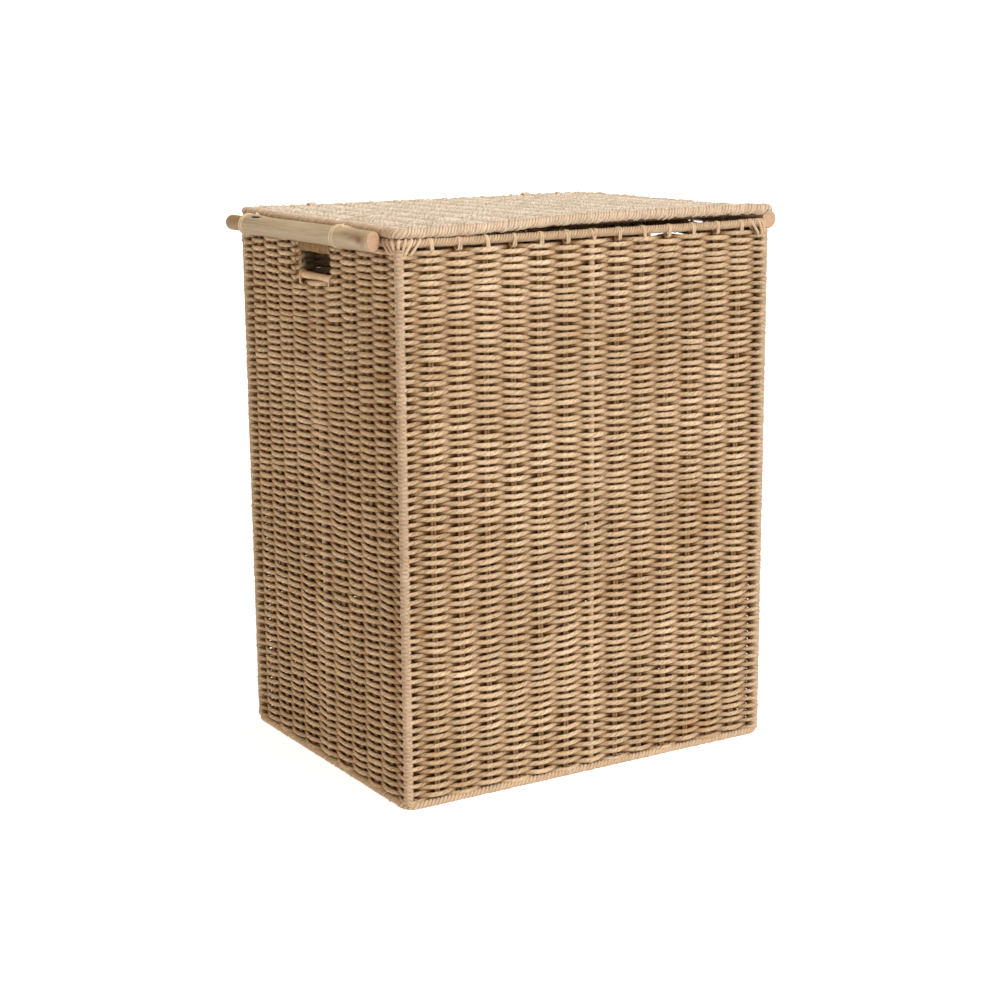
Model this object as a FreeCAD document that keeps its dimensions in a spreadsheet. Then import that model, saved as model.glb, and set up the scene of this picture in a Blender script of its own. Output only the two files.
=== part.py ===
import FreeCAD, Part
import math
import os
import Sketcher
from FreeCAD import Placement, Rotation, Vector

# A woven laundry hamper: a wire and cord frame, rope-woven walls and floor, a wrapped rim,
# two bamboo pole handles, and a woven lid tied to the back rim.
# The origin is the middle of the footprint at floor level. Width is X, depth is Y, up is Z.
# The front faces -Y, the hinge is at +Y. All sizes are in millimetres.

DIMENSIONS = {
    # walls
    "half_width": 233,
    "half_depth": 182,
    "wall_base": 7.7,
    "wall_top": 573.5,
    "wall_thick": 13,
    "stake_inset": 6.5,
    "post_inset": 8.5,
    "post_radius": 3.5,
    "post_top": 577.1,
    "upright_radius": 3.4,
    "cord_radius": 1.5,
    "cord_spread": 1.7,
    "cord_top": 575.4,
    "clearance": 0.15,
    "front_pitch": 32.07,
    "side_first": 41,
    "side_pitch": 33.125,
    # hand holes
    "hole_half": 35,
    "hole_base": 532,
    "hole_corner": 0.3,
    "bar_radius": 3.4,
    "fit_gap": 0.1,
    "top_bar_height": 564.3,
    # rings
    "wire_radius": 2.5,
    "ring_inset": 15.6,
    "ring_corner": 9,
    "bottom_ring_height": 9,
    "middle_ring_height": 290,
    "border_inset": 4,
    "border_radius": 4,
    "border_height": 3.6,
    # floor
    "floor_low": 3.5,
    "floor_high": 14.5,
    "floor_edge": 18.2,
    "floor_corner": 6.4,
    "rod_radius": 2,
    "rod_offset": 80.175,
    # rim
    "rim_inset": 5.2,
    "rim_height": 581.5,
    "rim_radius": 4.3,
    "rim_corner": 12,
    "top_wire_radius": 2.2,
    "binding_path": 5.15,
    "binding_radius": 0.8,
    "lashing_turn": 1.8,
    # pole handles
    "pole_offset": 244.8,
    "pole_height": 583,
    "pole_radius": 10.6,
    "pole_bore": 7,
    "pole_length": 335,
    "pole_back_node": 52,
    "pole_front_node": 268,
    "stub_radius": 8.5,
    "node_swell": 0.8,
    "node_half": 3.5,
    "node_crest": 1,
    "cut_bevel_in": 0.6,
    "cut_bevel_along": 0.8,
    "stub_round": 5,
    "stub_shoulder_in": 3,
    "stub_shoulder_along": 1,
    "end_wall": 10,
    "node_wall": 2,
    "tie_strand": 1.0,
    "tie_hole": 1.3,
    "tie_turn": 1.7,
    "tie_leaves_out": 4.1,
    "tie_leaves_up": 3.1,
    "knot_radius": 2.2,
    "knot_out": 1,
    "knot_up": 0.4,
    "knot_along": 2.6,
    "tie_run_out": 8,
    # lid
    "lid_height": 592.65,
    "lid_inset": 5.5,
    "lid_back_inset": 5.2,
    "lid_edge_radius": 4.9,
    "lid_wire_radius": 2.2,
    "lid_panel_thick": 8,
    "lid_panel_gap": 5.0,
    "lid_corner": 12,
    "lid_panel_corner": 7.2,
    "notch_corner": 1.2,
    # hinge ties
    "hinge_offset": 144.315,
    "hinge_path": 6.55,
    "hinge_cord": 1.3,
    "hinge_turn": 3.0,
    "notch_half": 6,
    "notch_depth": 11.2,
}

STAKES_EACH_SIDE = 6
SIDE_STAKES_EACH_SIDE = 4
HINGE_TURNS = 3
TIE_TURNS = 3

os.makedirs("parts", exist_ok=True)
doc = FreeCAD.newDocument("hamper")
sheet = doc.addObject("Spreadsheet::Sheet", "Dims")
for row, (alias, number) in enumerate(DIMENSIONS.items(), start=1):
    sheet.set(f"A{row}", alias)
    sheet.set(f"B{row}", str(number))
    sheet.setAlias(f"B{row}", alias)
doc.recompute()

SUB_PARTS = []


# ---------------------------------------------------------------- helpers

def value(formula):
    """The number that a formula of sheet aliases gives."""
    return float(sheet.evalExpression(formula))


def linked(formula):
    """The same formula as an expression of another object."""
    words = formula
    for alias in sorted(DIMENSIONS, key=len, reverse=True):
        words = words.replace(alias, f"@{list(DIMENSIONS).index(alias)}@")
    for index, alias in enumerate(DIMENSIONS):
        words = words.replace(f"@{index}@", f"Dims.{alias}")
    return words


def sub_part(thing, label):
    thing.Label = label
    SUB_PARTS.append(thing)
    return thing


def new_body(name, several=False):
    body = doc.addObject("PartDesign::Body", name)
    body.AllowCompound = several
    return body


def new_sketch(body, name, role="XY_Plane", lift="0"):
    """A sketch on one of the body's own origin planes, lifted along the plane's normal."""
    sketch = body.newObject("Sketcher::SketchObject", name)
    plane = [f for f in body.Origin.OriginFeatures if f.Role == role][0]
    sketch.AttachmentSupport = [(plane, "")]
    sketch.MapMode = "FlatFace"
    sketch.setExpression("AttachmentOffset.Base.z", linked(lift))
    return sketch


def bound(sketch, kind, *where, formula):
    """Adds a dimension whose size comes from the sheet."""
    index = sketch.addConstraint(Sketcher.Constraint(kind, *where, value(formula)))
    sketch.setExpression(f"Constraints[{index}]", linked(formula))


def circle(sketch, across, along, radius):
    """A circle with its centre and radius bound to the sheet."""
    centre = Vector(value(across), value(along), 0)
    geo = sketch.addGeometry(Part.Circle(centre, Vector(0, 0, 1), value(radius)), False)
    bound(sketch, "DistanceX", -1, 1, geo, 3, formula=across)
    bound(sketch, "DistanceY", -1, 1, geo, 3, formula=along)
    bound(sketch, "Radius", geo, formula=radius)


def corner_arc(centre_x, centre_y, radius, start_degrees, end_degrees):
    full = Part.Circle(Vector(centre_x, centre_y, 0), Vector(0, 0, 1), radius)
    return Part.ArcOfCircle(full, math.radians(start_degrees), math.radians(end_degrees))


def rounded_rectangle(sketch, left, right, low, high, corner):
    """A rounded rectangle from four limits and a corner radius, all bound to the sheet."""
    x0, x1, y0, y1, r = (value(f) for f in (left, right, low, high, corner))
    outline = [
        Part.LineSegment(Vector(x0 + r, y0, 0), Vector(x1 - r, y0, 0)),
        corner_arc(x1 - r, y0 + r, r, 270, 360),
        Part.LineSegment(Vector(x1, y0 + r, 0), Vector(x1, y1 - r, 0)),
        corner_arc(x1 - r, y1 - r, r, 0, 90),
        Part.LineSegment(Vector(x1 - r, y1, 0), Vector(x0 + r, y1, 0)),
        corner_arc(x0 + r, y1 - r, r, 90, 180),
        Part.LineSegment(Vector(x0, y1 - r, 0), Vector(x0, y0 + r, 0)),
        corner_arc(x0 + r, y0 + r, r, 180, 270),
    ]
    first = sketch.addGeometry(outline, False)[0]
    for step in range(8):
        here = first + step
        after = first + (step + 1) % 8
        sketch.addConstraint(Sketcher.Constraint("Tangent", here, 2, after, 1))
    for step in (3, 5, 7):
        sketch.addConstraint(Sketcher.Constraint("Equal", first + 1, first + step))
    sketch.addConstraint(Sketcher.Constraint("Horizontal", first))
    sketch.addConstraint(Sketcher.Constraint("Vertical", first + 2))
    bound(sketch, "Radius", first + 1, formula=corner)
    bound(sketch, "DistanceY", -1, 1, first, 1, formula=low)
    bound(sketch, "DistanceX", -1, 1, first + 2, 1, formula=right)
    bound(sketch, "DistanceY", -1, 1, first + 4, 1, formula=high)
    bound(sketch, "DistanceX", -1, 1, first + 6, 1, formula=left)


def pad(body, sketch, length):
    feature = body.newObject("PartDesign::Pad", sketch.Name + "_pad")
    feature.Profile = sketch
    feature.setExpression("Length", linked(length))
    sketch.Visibility = False
    return feature


def pocket_both_ways(body, sketch, length):
    """Cuts the sketch half of the length to each side of its plane."""
    feature = body.newObject("PartDesign::Pocket", sketch.Name + "_pocket")
    feature.Profile = sketch
    feature.Midplane = True
    feature.setExpression("Length", linked(length))
    return feature


def ring(label, half_x, low_y, high_y, corner, height, radius, bore=None):
    """A closed ring of round section round a rounded rectangle, with a bore if one is given."""
    body = new_body(label)
    path = new_sketch(body, label + "_path")
    rounded_rectangle(path, f"-({half_x})", half_x, low_y, high_y, corner)
    section = new_sketch(body, label + "_section", role="YZ_Plane")
    circle(section, low_y, "0", radius)
    pipe = body.newObject("PartDesign::AdditivePipe", label + "_pipe")
    pipe.Profile = section
    pipe.Spine = path
    pipe.Mode = "Standard"
    if bore:
        doc.recompute()
        hollow = new_sketch(body, label + "_bore", role="YZ_Plane")
        circle(hollow, low_y, "0", bore)
        bored = body.newObject("PartDesign::SubtractivePipe", label + "_bored")
        bored.Profile = hollow
        bored.Spine = path
        bored.Mode = "Standard"
    body.setExpression("Placement.Base.z", linked(height))
    return body


def rod(name, radius, length, base, turn=None):
    """A round rod: base is the formula of each coordinate of its lower end, turn its direction."""
    piece = doc.addObject("Part::Cylinder", name)
    piece.setExpression("Radius", linked(radius))
    piece.setExpression("Height", linked(length))
    if turn is not None:
        piece.Placement = Placement(Vector(0, 0, 0), turn)
    for letter, formula in zip("xyz", base):
        piece.setExpression(f"Placement.Base.{letter}", linked(formula))
    return piece


def hoop(name, path_radius, cord_radius, centre, turn):
    """A closed turn of cord."""
    piece = doc.addObject("Part::Torus", name)
    piece.setExpression("Radius1", linked(path_radius))
    piece.setExpression("Radius2", linked(cord_radius))
    piece.Placement = Placement(Vector(0, 0, 0), turn)
    for letter, formula in zip("xyz", centre):
        piece.setExpression(f"Placement.Base.{letter}", linked(formula))
    return piece


def group(label, pieces):
    """Separate solids that make one sub-part."""
    bundle = doc.addObject("Part::Compound", label)
    bundle.Links = pieces
    return sub_part(bundle, label)


def cut(label, base, tools):
    """The base with every tool taken away."""
    bundle = doc.addObject("Part::Compound", label + "_tools")
    bundle.Links = tools
    result = doc.addObject("Part::Cut", label)
    result.Base = base
    result.Tool = bundle
    return sub_part(result, label)


UP_TO_Y = Rotation(Vector(1, 0, 0), -90)   # turns +Z to +Y
ROUND_X = Rotation(Vector(0, 1, 0), 90)    # a hoop whose axis is X
ROUND_Y = Rotation(Vector(1, 0, 0), 90)    # a hoop whose axis is Y


# ---------------------------------------------------------------- walls

class Side:
    """One wall: its half length, the turn that brings it from the front, and its stakes.
    Outward is the sign of the axis that the wall faces along."""

    def __init__(self, name, half_length, half_across, turn, outward, stakes):
        self.name = name
        self.half_length = half_length
        self.half_across = half_across
        self.turn = Rotation(Vector(0, 0, 1), turn)
        self.outward = outward
        self.stakes = stakes


front_stakes = [
    f"{sign * k} * front_pitch" for sign in (-1, 1) for k in range(1, STAKES_EACH_SIDE + 1)
]
side_stakes = [
    f"{sign} * (side_first + {k} * side_pitch)"
    for sign in (-1, 1)
    for k in range(SIDE_STAKES_EACH_SIDE)
]
SIDES = [
    Side("front", "half_width", "half_depth", 0, -1, front_stakes),
    Side("back", "half_width", "half_depth", 180, 1, front_stakes),
    Side("left", "half_depth", "half_width", -90, -1, side_stakes),
    Side("right", "half_depth", "half_width", 90, 1, side_stakes),
]


def cord_places(side):
    """The two cords of each stake, as positions along the wall."""
    return [f"{stake} + {way} * cord_spread" for stake in side.stakes for way in (-1, 1)]


def wall_outline(sketch, side):
    """A wall seen from above: mitred at the corner posts, rounded outside, hollow for the posts."""
    a = value(side.half_length)
    b = value(side.half_across)
    inset = value("post_inset")
    thick = value("wall_thick")
    hollow = value("post_radius + clearance")
    post_x = a - inset
    post_y = -(b - inset)
    reach = math.sqrt(0.5)
    outer = Vector(post_x + inset * reach, post_y - inset * reach, 0)
    near_out = Vector(post_x + hollow * reach, post_y - hollow * reach, 0)
    near_in = Vector(post_x - hollow * reach, post_y + hollow * reach, 0)
    inner = Vector(a - thick, -(b - thick), 0)

    def mirrored(point):
        return Vector(-point.x, point.y, 0)

    outline = [
        Part.LineSegment(Vector(-post_x, -b, 0), Vector(post_x, -b, 0)),
        corner_arc(post_x, post_y, inset, 270, 315),
        Part.LineSegment(outer, near_out),
        corner_arc(post_x, post_y, hollow, 135, 315),
        Part.LineSegment(near_in, inner),
        Part.LineSegment(inner, mirrored(inner)),
        Part.LineSegment(mirrored(inner), mirrored(near_in)),
        corner_arc(-post_x, post_y, hollow, 225, 45),
        Part.LineSegment(mirrored(near_out), mirrored(outer)),
        corner_arc(-post_x, post_y, inset, 225, 270),
    ]
    front, arc_r, cut_r, bay_r, low_r, back, low_l, bay_l, cut_l, arc_l = sketch.addGeometry(
        outline, False
    )
    joins = [
        (front, 2, arc_r, 1), (arc_r, 2, cut_r, 1), (cut_r, 2, bay_r, 2), (bay_r, 1, low_r, 1),
        (low_r, 2, back, 1), (back, 2, low_l, 1), (low_l, 2, bay_l, 2), (bay_l, 1, cut_l, 1),
        (cut_l, 2, arc_l, 1), (arc_l, 2, front, 1),
    ]
    for join in joins:
        sketch.addConstraint(Sketcher.Constraint("Coincident", *join))
    for bay, arc in ((bay_r, arc_r), (bay_l, arc_l)):
        sketch.addConstraint(Sketcher.Constraint("Coincident", bay, 3, arc, 3))
    post_along = f"{side.half_length} - post_inset"
    post_across = f"post_inset - {side.half_across}"
    for arc, sign in ((arc_r, ""), (arc_l, "-1 * ")):
        bound(sketch, "DistanceX", -1, 1, arc, 3, formula=f"{sign}({post_along})")
        bound(sketch, "DistanceY", -1, 1, arc, 3, formula=post_across)
        bound(sketch, "Radius", arc, formula="post_inset")
    for bay in (bay_r, bay_l):
        bound(sketch, "Radius", bay, formula="post_radius + clearance")
    for place, sign in ((1, ""), (2, "-1 * ")):
        bound(
            sketch, "DistanceX", -1, 1, back, place,
            formula=f"{sign}({side.half_length} - wall_thick)",
        )
        bound(
            sketch, "DistanceY", -1, 1, back, place, formula=f"wall_thick - {side.half_across}"
        )


def wall_weave(side, with_hole):
    """The woven rope of one wall, as a slab with a channel for each stake."""
    label = f"{side.name}_wall_weave"
    body = new_body(label)
    outline = new_sketch(body, label + "_outline", lift="wall_base")
    wall_outline(outline, side)
    pad(body, outline, "wall_top - wall_base")
    channels = new_sketch(body, label + "_channels")
    across = f"stake_inset - {side.half_across}"
    for place in cord_places(side):
        circle(channels, place, across, "cord_radius + clearance")
    circle(channels, "0", across, "upright_radius + clearance")
    pocket_both_ways(body, channels, "3 * wall_top")
    if with_hole:
        opening = new_sketch(body, label + "_opening", role="XZ_Plane")
        rounded_rectangle(
            opening, "-1 * hole_half", "hole_half", "hole_base", "wall_top + wall_thick", "hole_corner"
        )
        pocket_both_ways(body, opening, "4 * half_width")
    body.Placement = Placement(Vector(0, 0, 0), side.turn)
    return sub_part(body, label)


def stakes(side):
    """The pairs of cord that the rope is woven round, one pair at each stake."""
    label = f"{side.name}_stakes"
    body = new_body(label, several=True)
    section = new_sketch(body, label + "_section", lift="wall_base")
    for place in cord_places(side):
        circle(section, place, f"stake_inset - {side.half_across}", "cord_radius")
    pad(body, section, "cord_top - wall_base")
    body.Placement = Placement(Vector(0, 0, 0), side.turn)
    return sub_part(body, label)


def centre_upright(side, top):
    label = f"{side.name}_centre_upright"
    body = new_body(label)
    section = new_sketch(body, label + "_section", lift="wall_base")
    circle(section, "0", f"stake_inset - {side.half_across}", "upright_radius")
    pad(body, section, f"{top} - wall_base")
    body.Placement = Placement(Vector(0, 0, 0), side.turn)
    return sub_part(body, label)


def hand_hole_bar(side, place, height):
    """A rope-wrapped bar along one edge of a hand hole."""
    label = f"{side.name}_hand_hole_{place}_bar"
    body = new_body(label)
    section = new_sketch(body, label + "_section", role="YZ_Plane", lift="fit_gap - hole_half")
    circle(section, f"stake_inset - {side.half_across}", height, "bar_radius")
    pad(body, section, "2 * hole_half - 2 * fit_gap")
    body.Placement = Placement(Vector(0, 0, 0), side.turn)
    return sub_part(body, label)


for side in SIDES:
    short_wall = side.name in ("left", "right")
    wall_weave(side, with_hole=short_wall)
    stakes(side)
    if short_wall:
        centre_upright(side, "hole_base - fit_gap")
        hand_hole_bar(side, "lower", "hole_base + bar_radius + fit_gap")
        hand_hole_bar(side, "top", "top_bar_height")
    else:
        centre_upright(side, "cord_top")

for across_name, sign_x in (("left", -1), ("right", 1)):
    for along_name, sign_y in (("front", -1), ("back", 1)):
        label = f"{along_name}_{across_name}_corner_post"
        post = rod(
            label, "post_radius", "post_top - wall_base",
            (f"{sign_x} * (half_width - post_inset)", f"{sign_y} * (half_depth - post_inset)",
             "wall_base"),
        )
        sub_part(post, label)


# ---------------------------------------------------------------- rings, border, floor

def inset_ring(label, inset, corner, height, radius, bore=None):
    """A ring that keeps the same distance inside the outer faces on every side."""
    return ring(
        label, f"half_width - {inset}", f"{inset} - half_depth", f"half_depth - {inset}",
        corner, height, radius, bore,
    )


sub_part(
    inset_ring("bottom_ring", "ring_inset", "ring_corner", "bottom_ring_height", "wire_radius"),
    "bottom_ring",
)
sub_part(
    inset_ring("middle_ring", "ring_inset", "ring_corner", "middle_ring_height", "wire_radius"),
    "middle_ring",
)
sub_part(
    inset_ring("top_ring", "rim_inset", "rim_corner", "rim_height", "top_wire_radius"), "top_ring"
)
sub_part(
    inset_ring(
        "rim_wrapping", "rim_inset", "rim_corner", "rim_height", "rim_radius",
        bore="top_wire_radius + clearance",
    ),
    "rim_wrapping",
)

# The border rope is worn flat where it stands on the floor.
border_rope = inset_ring("border_rope", "border_inset", "rim_corner", "border_height", "border_radius")
under_floor = doc.addObject("Part::Box", "under_floor")
under_floor.setExpression("Length", linked("3 * half_width"))
under_floor.setExpression("Width", linked("3 * half_depth"))
under_floor.setExpression("Height", linked("2 * border_radius"))
under_floor.setExpression("Placement.Base.x", linked("-1.5 * half_width"))
under_floor.setExpression("Placement.Base.y", linked("-1.5 * half_depth"))
under_floor.setExpression("Placement.Base.z", linked("-2 * border_radius"))
base_border = doc.addObject("Part::Cut", "base_border")
base_border.Base = border_rope
base_border.Tool = under_floor
sub_part(base_border, "base_border")

FLAT_STAKES = [f"{k} * front_pitch" for k in range(-STAKES_EACH_SIDE, STAKES_EACH_SIDE + 1)]


def woven_panel(label, half_x, low_y, high_y, corner, low, thick, notches=None):
    """A flat woven panel with channels for its stakes and rods, which run along Y."""
    body = new_body(label)
    outline = new_sketch(body, label + "_outline", lift=low)
    rounded_rectangle(outline, f"-1 * ({half_x})", half_x, low_y, high_y, corner)
    pad(body, outline, thick)
    if notches:
        notch = new_sketch(body, label + "_notches", lift=low)
        notches(notch)
        pocket_both_ways(body, notch, f"4 * ({thick})")
    channels = new_sketch(body, label + "_channels", role="XZ_Plane")
    middle = f"{low} + ({thick}) / 2"
    for stake in FLAT_STAKES:
        for way in (-1, 1):
            circle(channels, f"{stake} + {way} * cord_spread", middle, "cord_radius + clearance")
    for way in (-1, 1):
        circle(channels, f"{way} * rod_offset", middle, "rod_radius + clearance")
    pocket_both_ways(body, channels, "4 * half_depth")
    return sub_part(body, label)


def flat_stakes(label, low_y, high_y, middle):
    """Pairs of cord along Y, one pair at each stake of the front wall."""
    pieces = []
    for number, stake in enumerate(FLAT_STAKES):
        for way in (-1, 1):
            pieces.append(
                rod(
                    f"{label}_{number}_{'ab'[way > 0]}", "cord_radius", f"({high_y}) - ({low_y})",
                    (f"{stake} + {way} * cord_spread", low_y, middle), UP_TO_Y,
                )
            )
    return group(label, pieces)


def flat_rods(label, low_y, high_y, middle):
    pieces = [
        rod(
            f"{label}_{name}", "rod_radius", f"({high_y}) - ({low_y})",
            (f"{way} * rod_offset", low_y, middle), UP_TO_Y,
        )
        for name, way in (("left", -1), ("right", 1))
    ]
    return group(label, pieces)


floor_low_y = "floor_edge - half_depth"
floor_high_y = "half_depth - floor_edge"
floor_middle = "(floor_low + floor_high) / 2"
woven_panel(
    "floor_weave", "half_width - floor_edge", floor_low_y, floor_high_y, "floor_corner",
    "floor_low", "floor_high - floor_low",
)
flat_stakes("floor_stakes", floor_low_y, floor_high_y, floor_middle)
flat_rods("floor_rods", floor_low_y, floor_high_y, floor_middle)


# ---------------------------------------------------------------- rim bindings and lashings

def rim_hoop(name, side, place):
    """One turn of cord round the rim, at a place along one side."""
    middle = f"{side.outward} * ({side.half_across} - rim_inset)"
    if side.name in ("front", "back"):
        centre, turn = (place, middle, "rim_height"), ROUND_X
    else:
        centre, turn = (middle, place, "rim_height"), ROUND_Y
    return hoop(name, "binding_path", "binding_radius", centre, turn)


bindings = []
lashings = []
for side in SIDES:
    for number, place in enumerate(side.stakes + ["0"]):
        bindings.append(rim_hoop(f"binding_{side.name}_{number}", side, place))
    for number, sign in enumerate((-1, 1)):
        for turn in range(2):
            offset = f"{sign} * ({side.half_length} - rim_inset - rim_corner - {turn} * lashing_turn)"
            lashings.append(rim_hoop(f"lashing_{side.name}_{number}_{turn}", side, offset))
group("rim_bindings", bindings)
group("corner_lashings", lashings)


# ---------------------------------------------------------------- bamboo pole handles

def pole_profile(sketch):
    """Half of a bamboo pole cut lengthwise: a thin stub and two internodes, each with a cavity."""
    r = value("pole_radius")
    bore = value("pole_bore")
    stub = value("stub_radius")
    back = value("pole_length")
    back_node = back - value("pole_back_node")
    front_node = back - value("pole_front_node")
    swell = value("node_swell")
    node_half = value("node_half")
    crest = value("node_crest")
    bevel_in = value("cut_bevel_in")
    bevel_along = value("cut_bevel_along")
    stub_round = value("stub_round")
    shoulder_in = value("stub_shoulder_in")
    shoulder_along = value("stub_shoulder_along")
    outside = [
        (0, 0), (r - bevel_in, 0), (r, bevel_along),
        (r, front_node - node_half), (r + swell, front_node - crest), (r + swell, front_node + crest),
        (r, front_node + node_half), (r, back_node - node_half),
        (r + swell, back_node - crest), (r + swell, back_node + crest),
        (stub, back_node + 2 * node_half),
        (stub, back - stub_round), (stub - shoulder_in, back - shoulder_along),
        (stub - stub_round, back), (0, back),
    ]
    wall = value("node_wall")
    cavities = ((front_node + wall, back_node - wall), (value("end_wall"), front_node - wall))
    inside = [
        point for start, end in cavities for point in ((0, end), (bore, end), (bore, start), (0, start))
    ]
    closed_polygon(sketch, outside + inside)


def closed_polygon(sketch, corners):
    """Straight edges from corner to corner, held where they stand."""
    count = len(corners)
    edges = [
        Part.LineSegment(Vector(*corners[k], 0), Vector(*corners[(k + 1) % count], 0))
        for k in range(count)
    ]
    geos = sketch.addGeometry(edges, False)
    for k in range(count):
        sketch.addConstraint(
            Sketcher.Constraint("Coincident", geos[k], 2, geos[(k + 1) % count], 1)
        )
    for geo in geos:
        sketch.addConstraint(Sketcher.Constraint("Block", geo))


def tie_line(sign_x):
    """Where a tie's strand leaves the rim and where it comes out on top of the pole."""
    start = Vector(
        sign_x * value("half_width - rim_inset + tie_leaves_out"), 0,
        value("rim_height + tie_leaves_up"),
    )
    end = Vector(
        sign_x * value("pole_offset + knot_out"), 0,
        value("pole_height + pole_radius + knot_up"),
    )
    return start, end


def pole_handle(side_name, sign_x, start_y, tie_places):
    """A bamboo pole outside a short wall, with a slanting hole for each tie."""
    label = f"{side_name}_bamboo_pole"
    body = new_body(label + "_blank")
    profile = new_sketch(body, label + "_profile")
    pole_profile(profile)
    turned = body.newObject("PartDesign::Revolution", label + "_turned")
    turned.Profile = profile
    turned.ReferenceAxis = (profile, ["V_Axis"])
    turned.Angle = 360
    body.Placement = Placement(
        Vector(sign_x * value("pole_offset"), start_y, value("pole_height")), Rotation()
    )
    start, end = tie_line(sign_x)
    slant = Rotation(Vector(0, 0, 1), end - start)
    holes = []
    for number, place in enumerate(tie_places):
        hole = doc.addObject("Part::Cylinder", f"{label}_hole_{number}")
        hole.setExpression("Radius", linked("tie_hole"))
        hole.Height = (end - start).Length + value("tie_run_out")
        hole.Placement = Placement(start + Vector(0, place, 0), slant)
        holes.append(hole)
    cut(label, body, holes)


def pole_tie(label, sign_x, place):
    """Cord round the rim whose strand goes through the pole and ends in a knot on top."""
    start, end = tie_line(sign_x)
    spot = Vector(0, place, 0)
    slant = Rotation(Vector(0, 0, 1), end - start)
    strand = doc.addObject("Part::Cylinder", label + "_strand")
    strand.setExpression("Radius", linked("tie_strand"))
    strand.Height = (end - start).Length + value("knot_out")
    strand.Placement = Placement(start + spot, slant)
    knot = doc.addObject("Part::Sphere", label + "_knot")
    knot.setExpression("Radius", linked("knot_radius"))
    beyond = (end - start).normalize() * value("knot_along")
    knot.Placement = Placement(end + beyond + spot, Rotation())
    turns = []
    for turn in range(TIE_TURNS):
        along = (turn - (TIE_TURNS - 1) / 2) * value("tie_turn")
        loop = doc.addObject("Part::Torus", f"{label}_turn_{turn}")
        loop.setExpression("Radius1", linked("binding_path"))
        loop.setExpression("Radius2", linked("binding_radius"))
        loop.Placement = Placement(
            Vector(sign_x * value("half_width - rim_inset"), place + along, value("rim_height")),
            ROUND_Y,
        )
        turns.append(loop)
    whole = doc.addObject("Part::MultiFuse", label)
    whole.Shapes = [strand, knot] + turns
    sub_part(whole, label)


POLES = [
    ("left", -1, -155.0, (-100.0, 100.0)),
    ("right", 1, -163.0, (-112.0, 96.0)),
]
for side_name, sign_x, start_y, tie_places in POLES:
    pole_handle(side_name, sign_x, start_y, tie_places)
    for along_name, place in zip(("front", "back"), tie_places):
        pole_tie(f"{side_name}_{along_name}_pole_tie", sign_x, place)


# ---------------------------------------------------------------- lid

lid_half_x = "half_width - lid_inset"
lid_low_y = "lid_back_inset - half_depth"
lid_high_y = "half_depth - lid_back_inset"
sub_part(
    ring("lid_ring", lid_half_x, lid_low_y, lid_high_y, "lid_corner", "lid_height", "lid_wire_radius"),
    "lid_ring",
)
sub_part(
    ring(
        "lid_edge_wrapping", lid_half_x, lid_low_y, lid_high_y, "lid_corner", "lid_height",
        "lid_edge_radius", bore="lid_wire_radius + clearance",
    ),
    "lid_edge_wrapping",
)


def hinge_notches(sketch):
    """Room in the lid beside its back edge for each hinge tie, at every angle of the lid."""
    for way in (-1, 1):
        middle = f"{way} * hinge_offset"
        rounded_rectangle(
            sketch, f"{middle} - notch_half", f"{middle} + notch_half",
            "half_depth - lid_back_inset - notch_depth", "half_depth", "notch_corner",
        )


panel_low_y = f"{lid_low_y} + lid_panel_gap"
panel_high_y = f"{lid_high_y} - lid_panel_gap"
woven_panel(
    "lid_weave", f"{lid_half_x} - lid_panel_gap", panel_low_y, panel_high_y, "lid_panel_corner",
    "lid_height - lid_panel_thick / 2", "lid_panel_thick", notches=hinge_notches,
)
flat_stakes("lid_stakes", panel_low_y, panel_high_y, "lid_height")
flat_rods("lid_rods", panel_low_y, panel_high_y, "lid_height")


# ---------------------------------------------------------------- hinge ties

def hinge_tie(label, centre_x):
    """Turns of rope round the lid's back edge and the back rim together."""
    reach = value("lid_height - rim_height")
    path = value("hinge_path")
    cord = value("hinge_cord")
    back_y = value("half_depth - rim_inset")
    low = value("rim_height")
    turns = []
    for turn in range(HINGE_TURNS):
        x = centre_x + (turn - (HINGE_TURNS - 1) / 2) * value("hinge_turn")
        top_arc = Part.Arc(
            Vector(x, back_y - path, low + reach), Vector(x, back_y, low + reach + path),
            Vector(x, back_y + path, low + reach),
        )
        low_arc = Part.Arc(
            Vector(x, back_y + path, low), Vector(x, back_y, low - path),
            Vector(x, back_y - path, low),
        )
        front_run = Part.LineSegment(
            Vector(x, back_y - path, low), Vector(x, back_y - path, low + reach)
        )
        back_run = Part.LineSegment(
            Vector(x, back_y + path, low + reach), Vector(x, back_y + path, low)
        )
        route = Part.Wire([e.toShape() for e in (front_run, top_arc, back_run, low_arc)])
        section = Part.Wire([
            Part.Circle(Vector(x, back_y - path, low), Vector(0, 0, 1), cord).toShape()
        ])
        turns.append(route.makePipeShell([section], True, False))
    tie = doc.addObject("Part::Feature", label)
    tie.Shape = Part.makeCompound(turns)
    return sub_part(tie, label)


for side_name, sign_x in (("left", -1), ("right", 1)):
    hinge_tie(f"{side_name}_hinge_tie", sign_x * value("hinge_offset"))


# ---------------------------------------------------------------- checks and export

doc.recompute()
faults = [o.Name for o in doc.Objects if {"Invalid", "Error"} & set(o.State)]
if faults:
    raise RuntimeError(f"failed objects: {faults}")
for part in SUB_PARTS:
    shape = part.Shape
    if shape.isNull() or not shape.isValid() or shape.Volume <= 0:
        raise RuntimeError(f"bad shape: {part.Label}")
    print(f"{part.Label}: {len(shape.Solids)} solids, {shape.Volume / 1000:.2f} cm3")
for part in SUB_PARTS:
    part.Shape.exportStep(f"parts/{part.Label}.step")
print(f"{len(SUB_PARTS)} sub-parts written")
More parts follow.
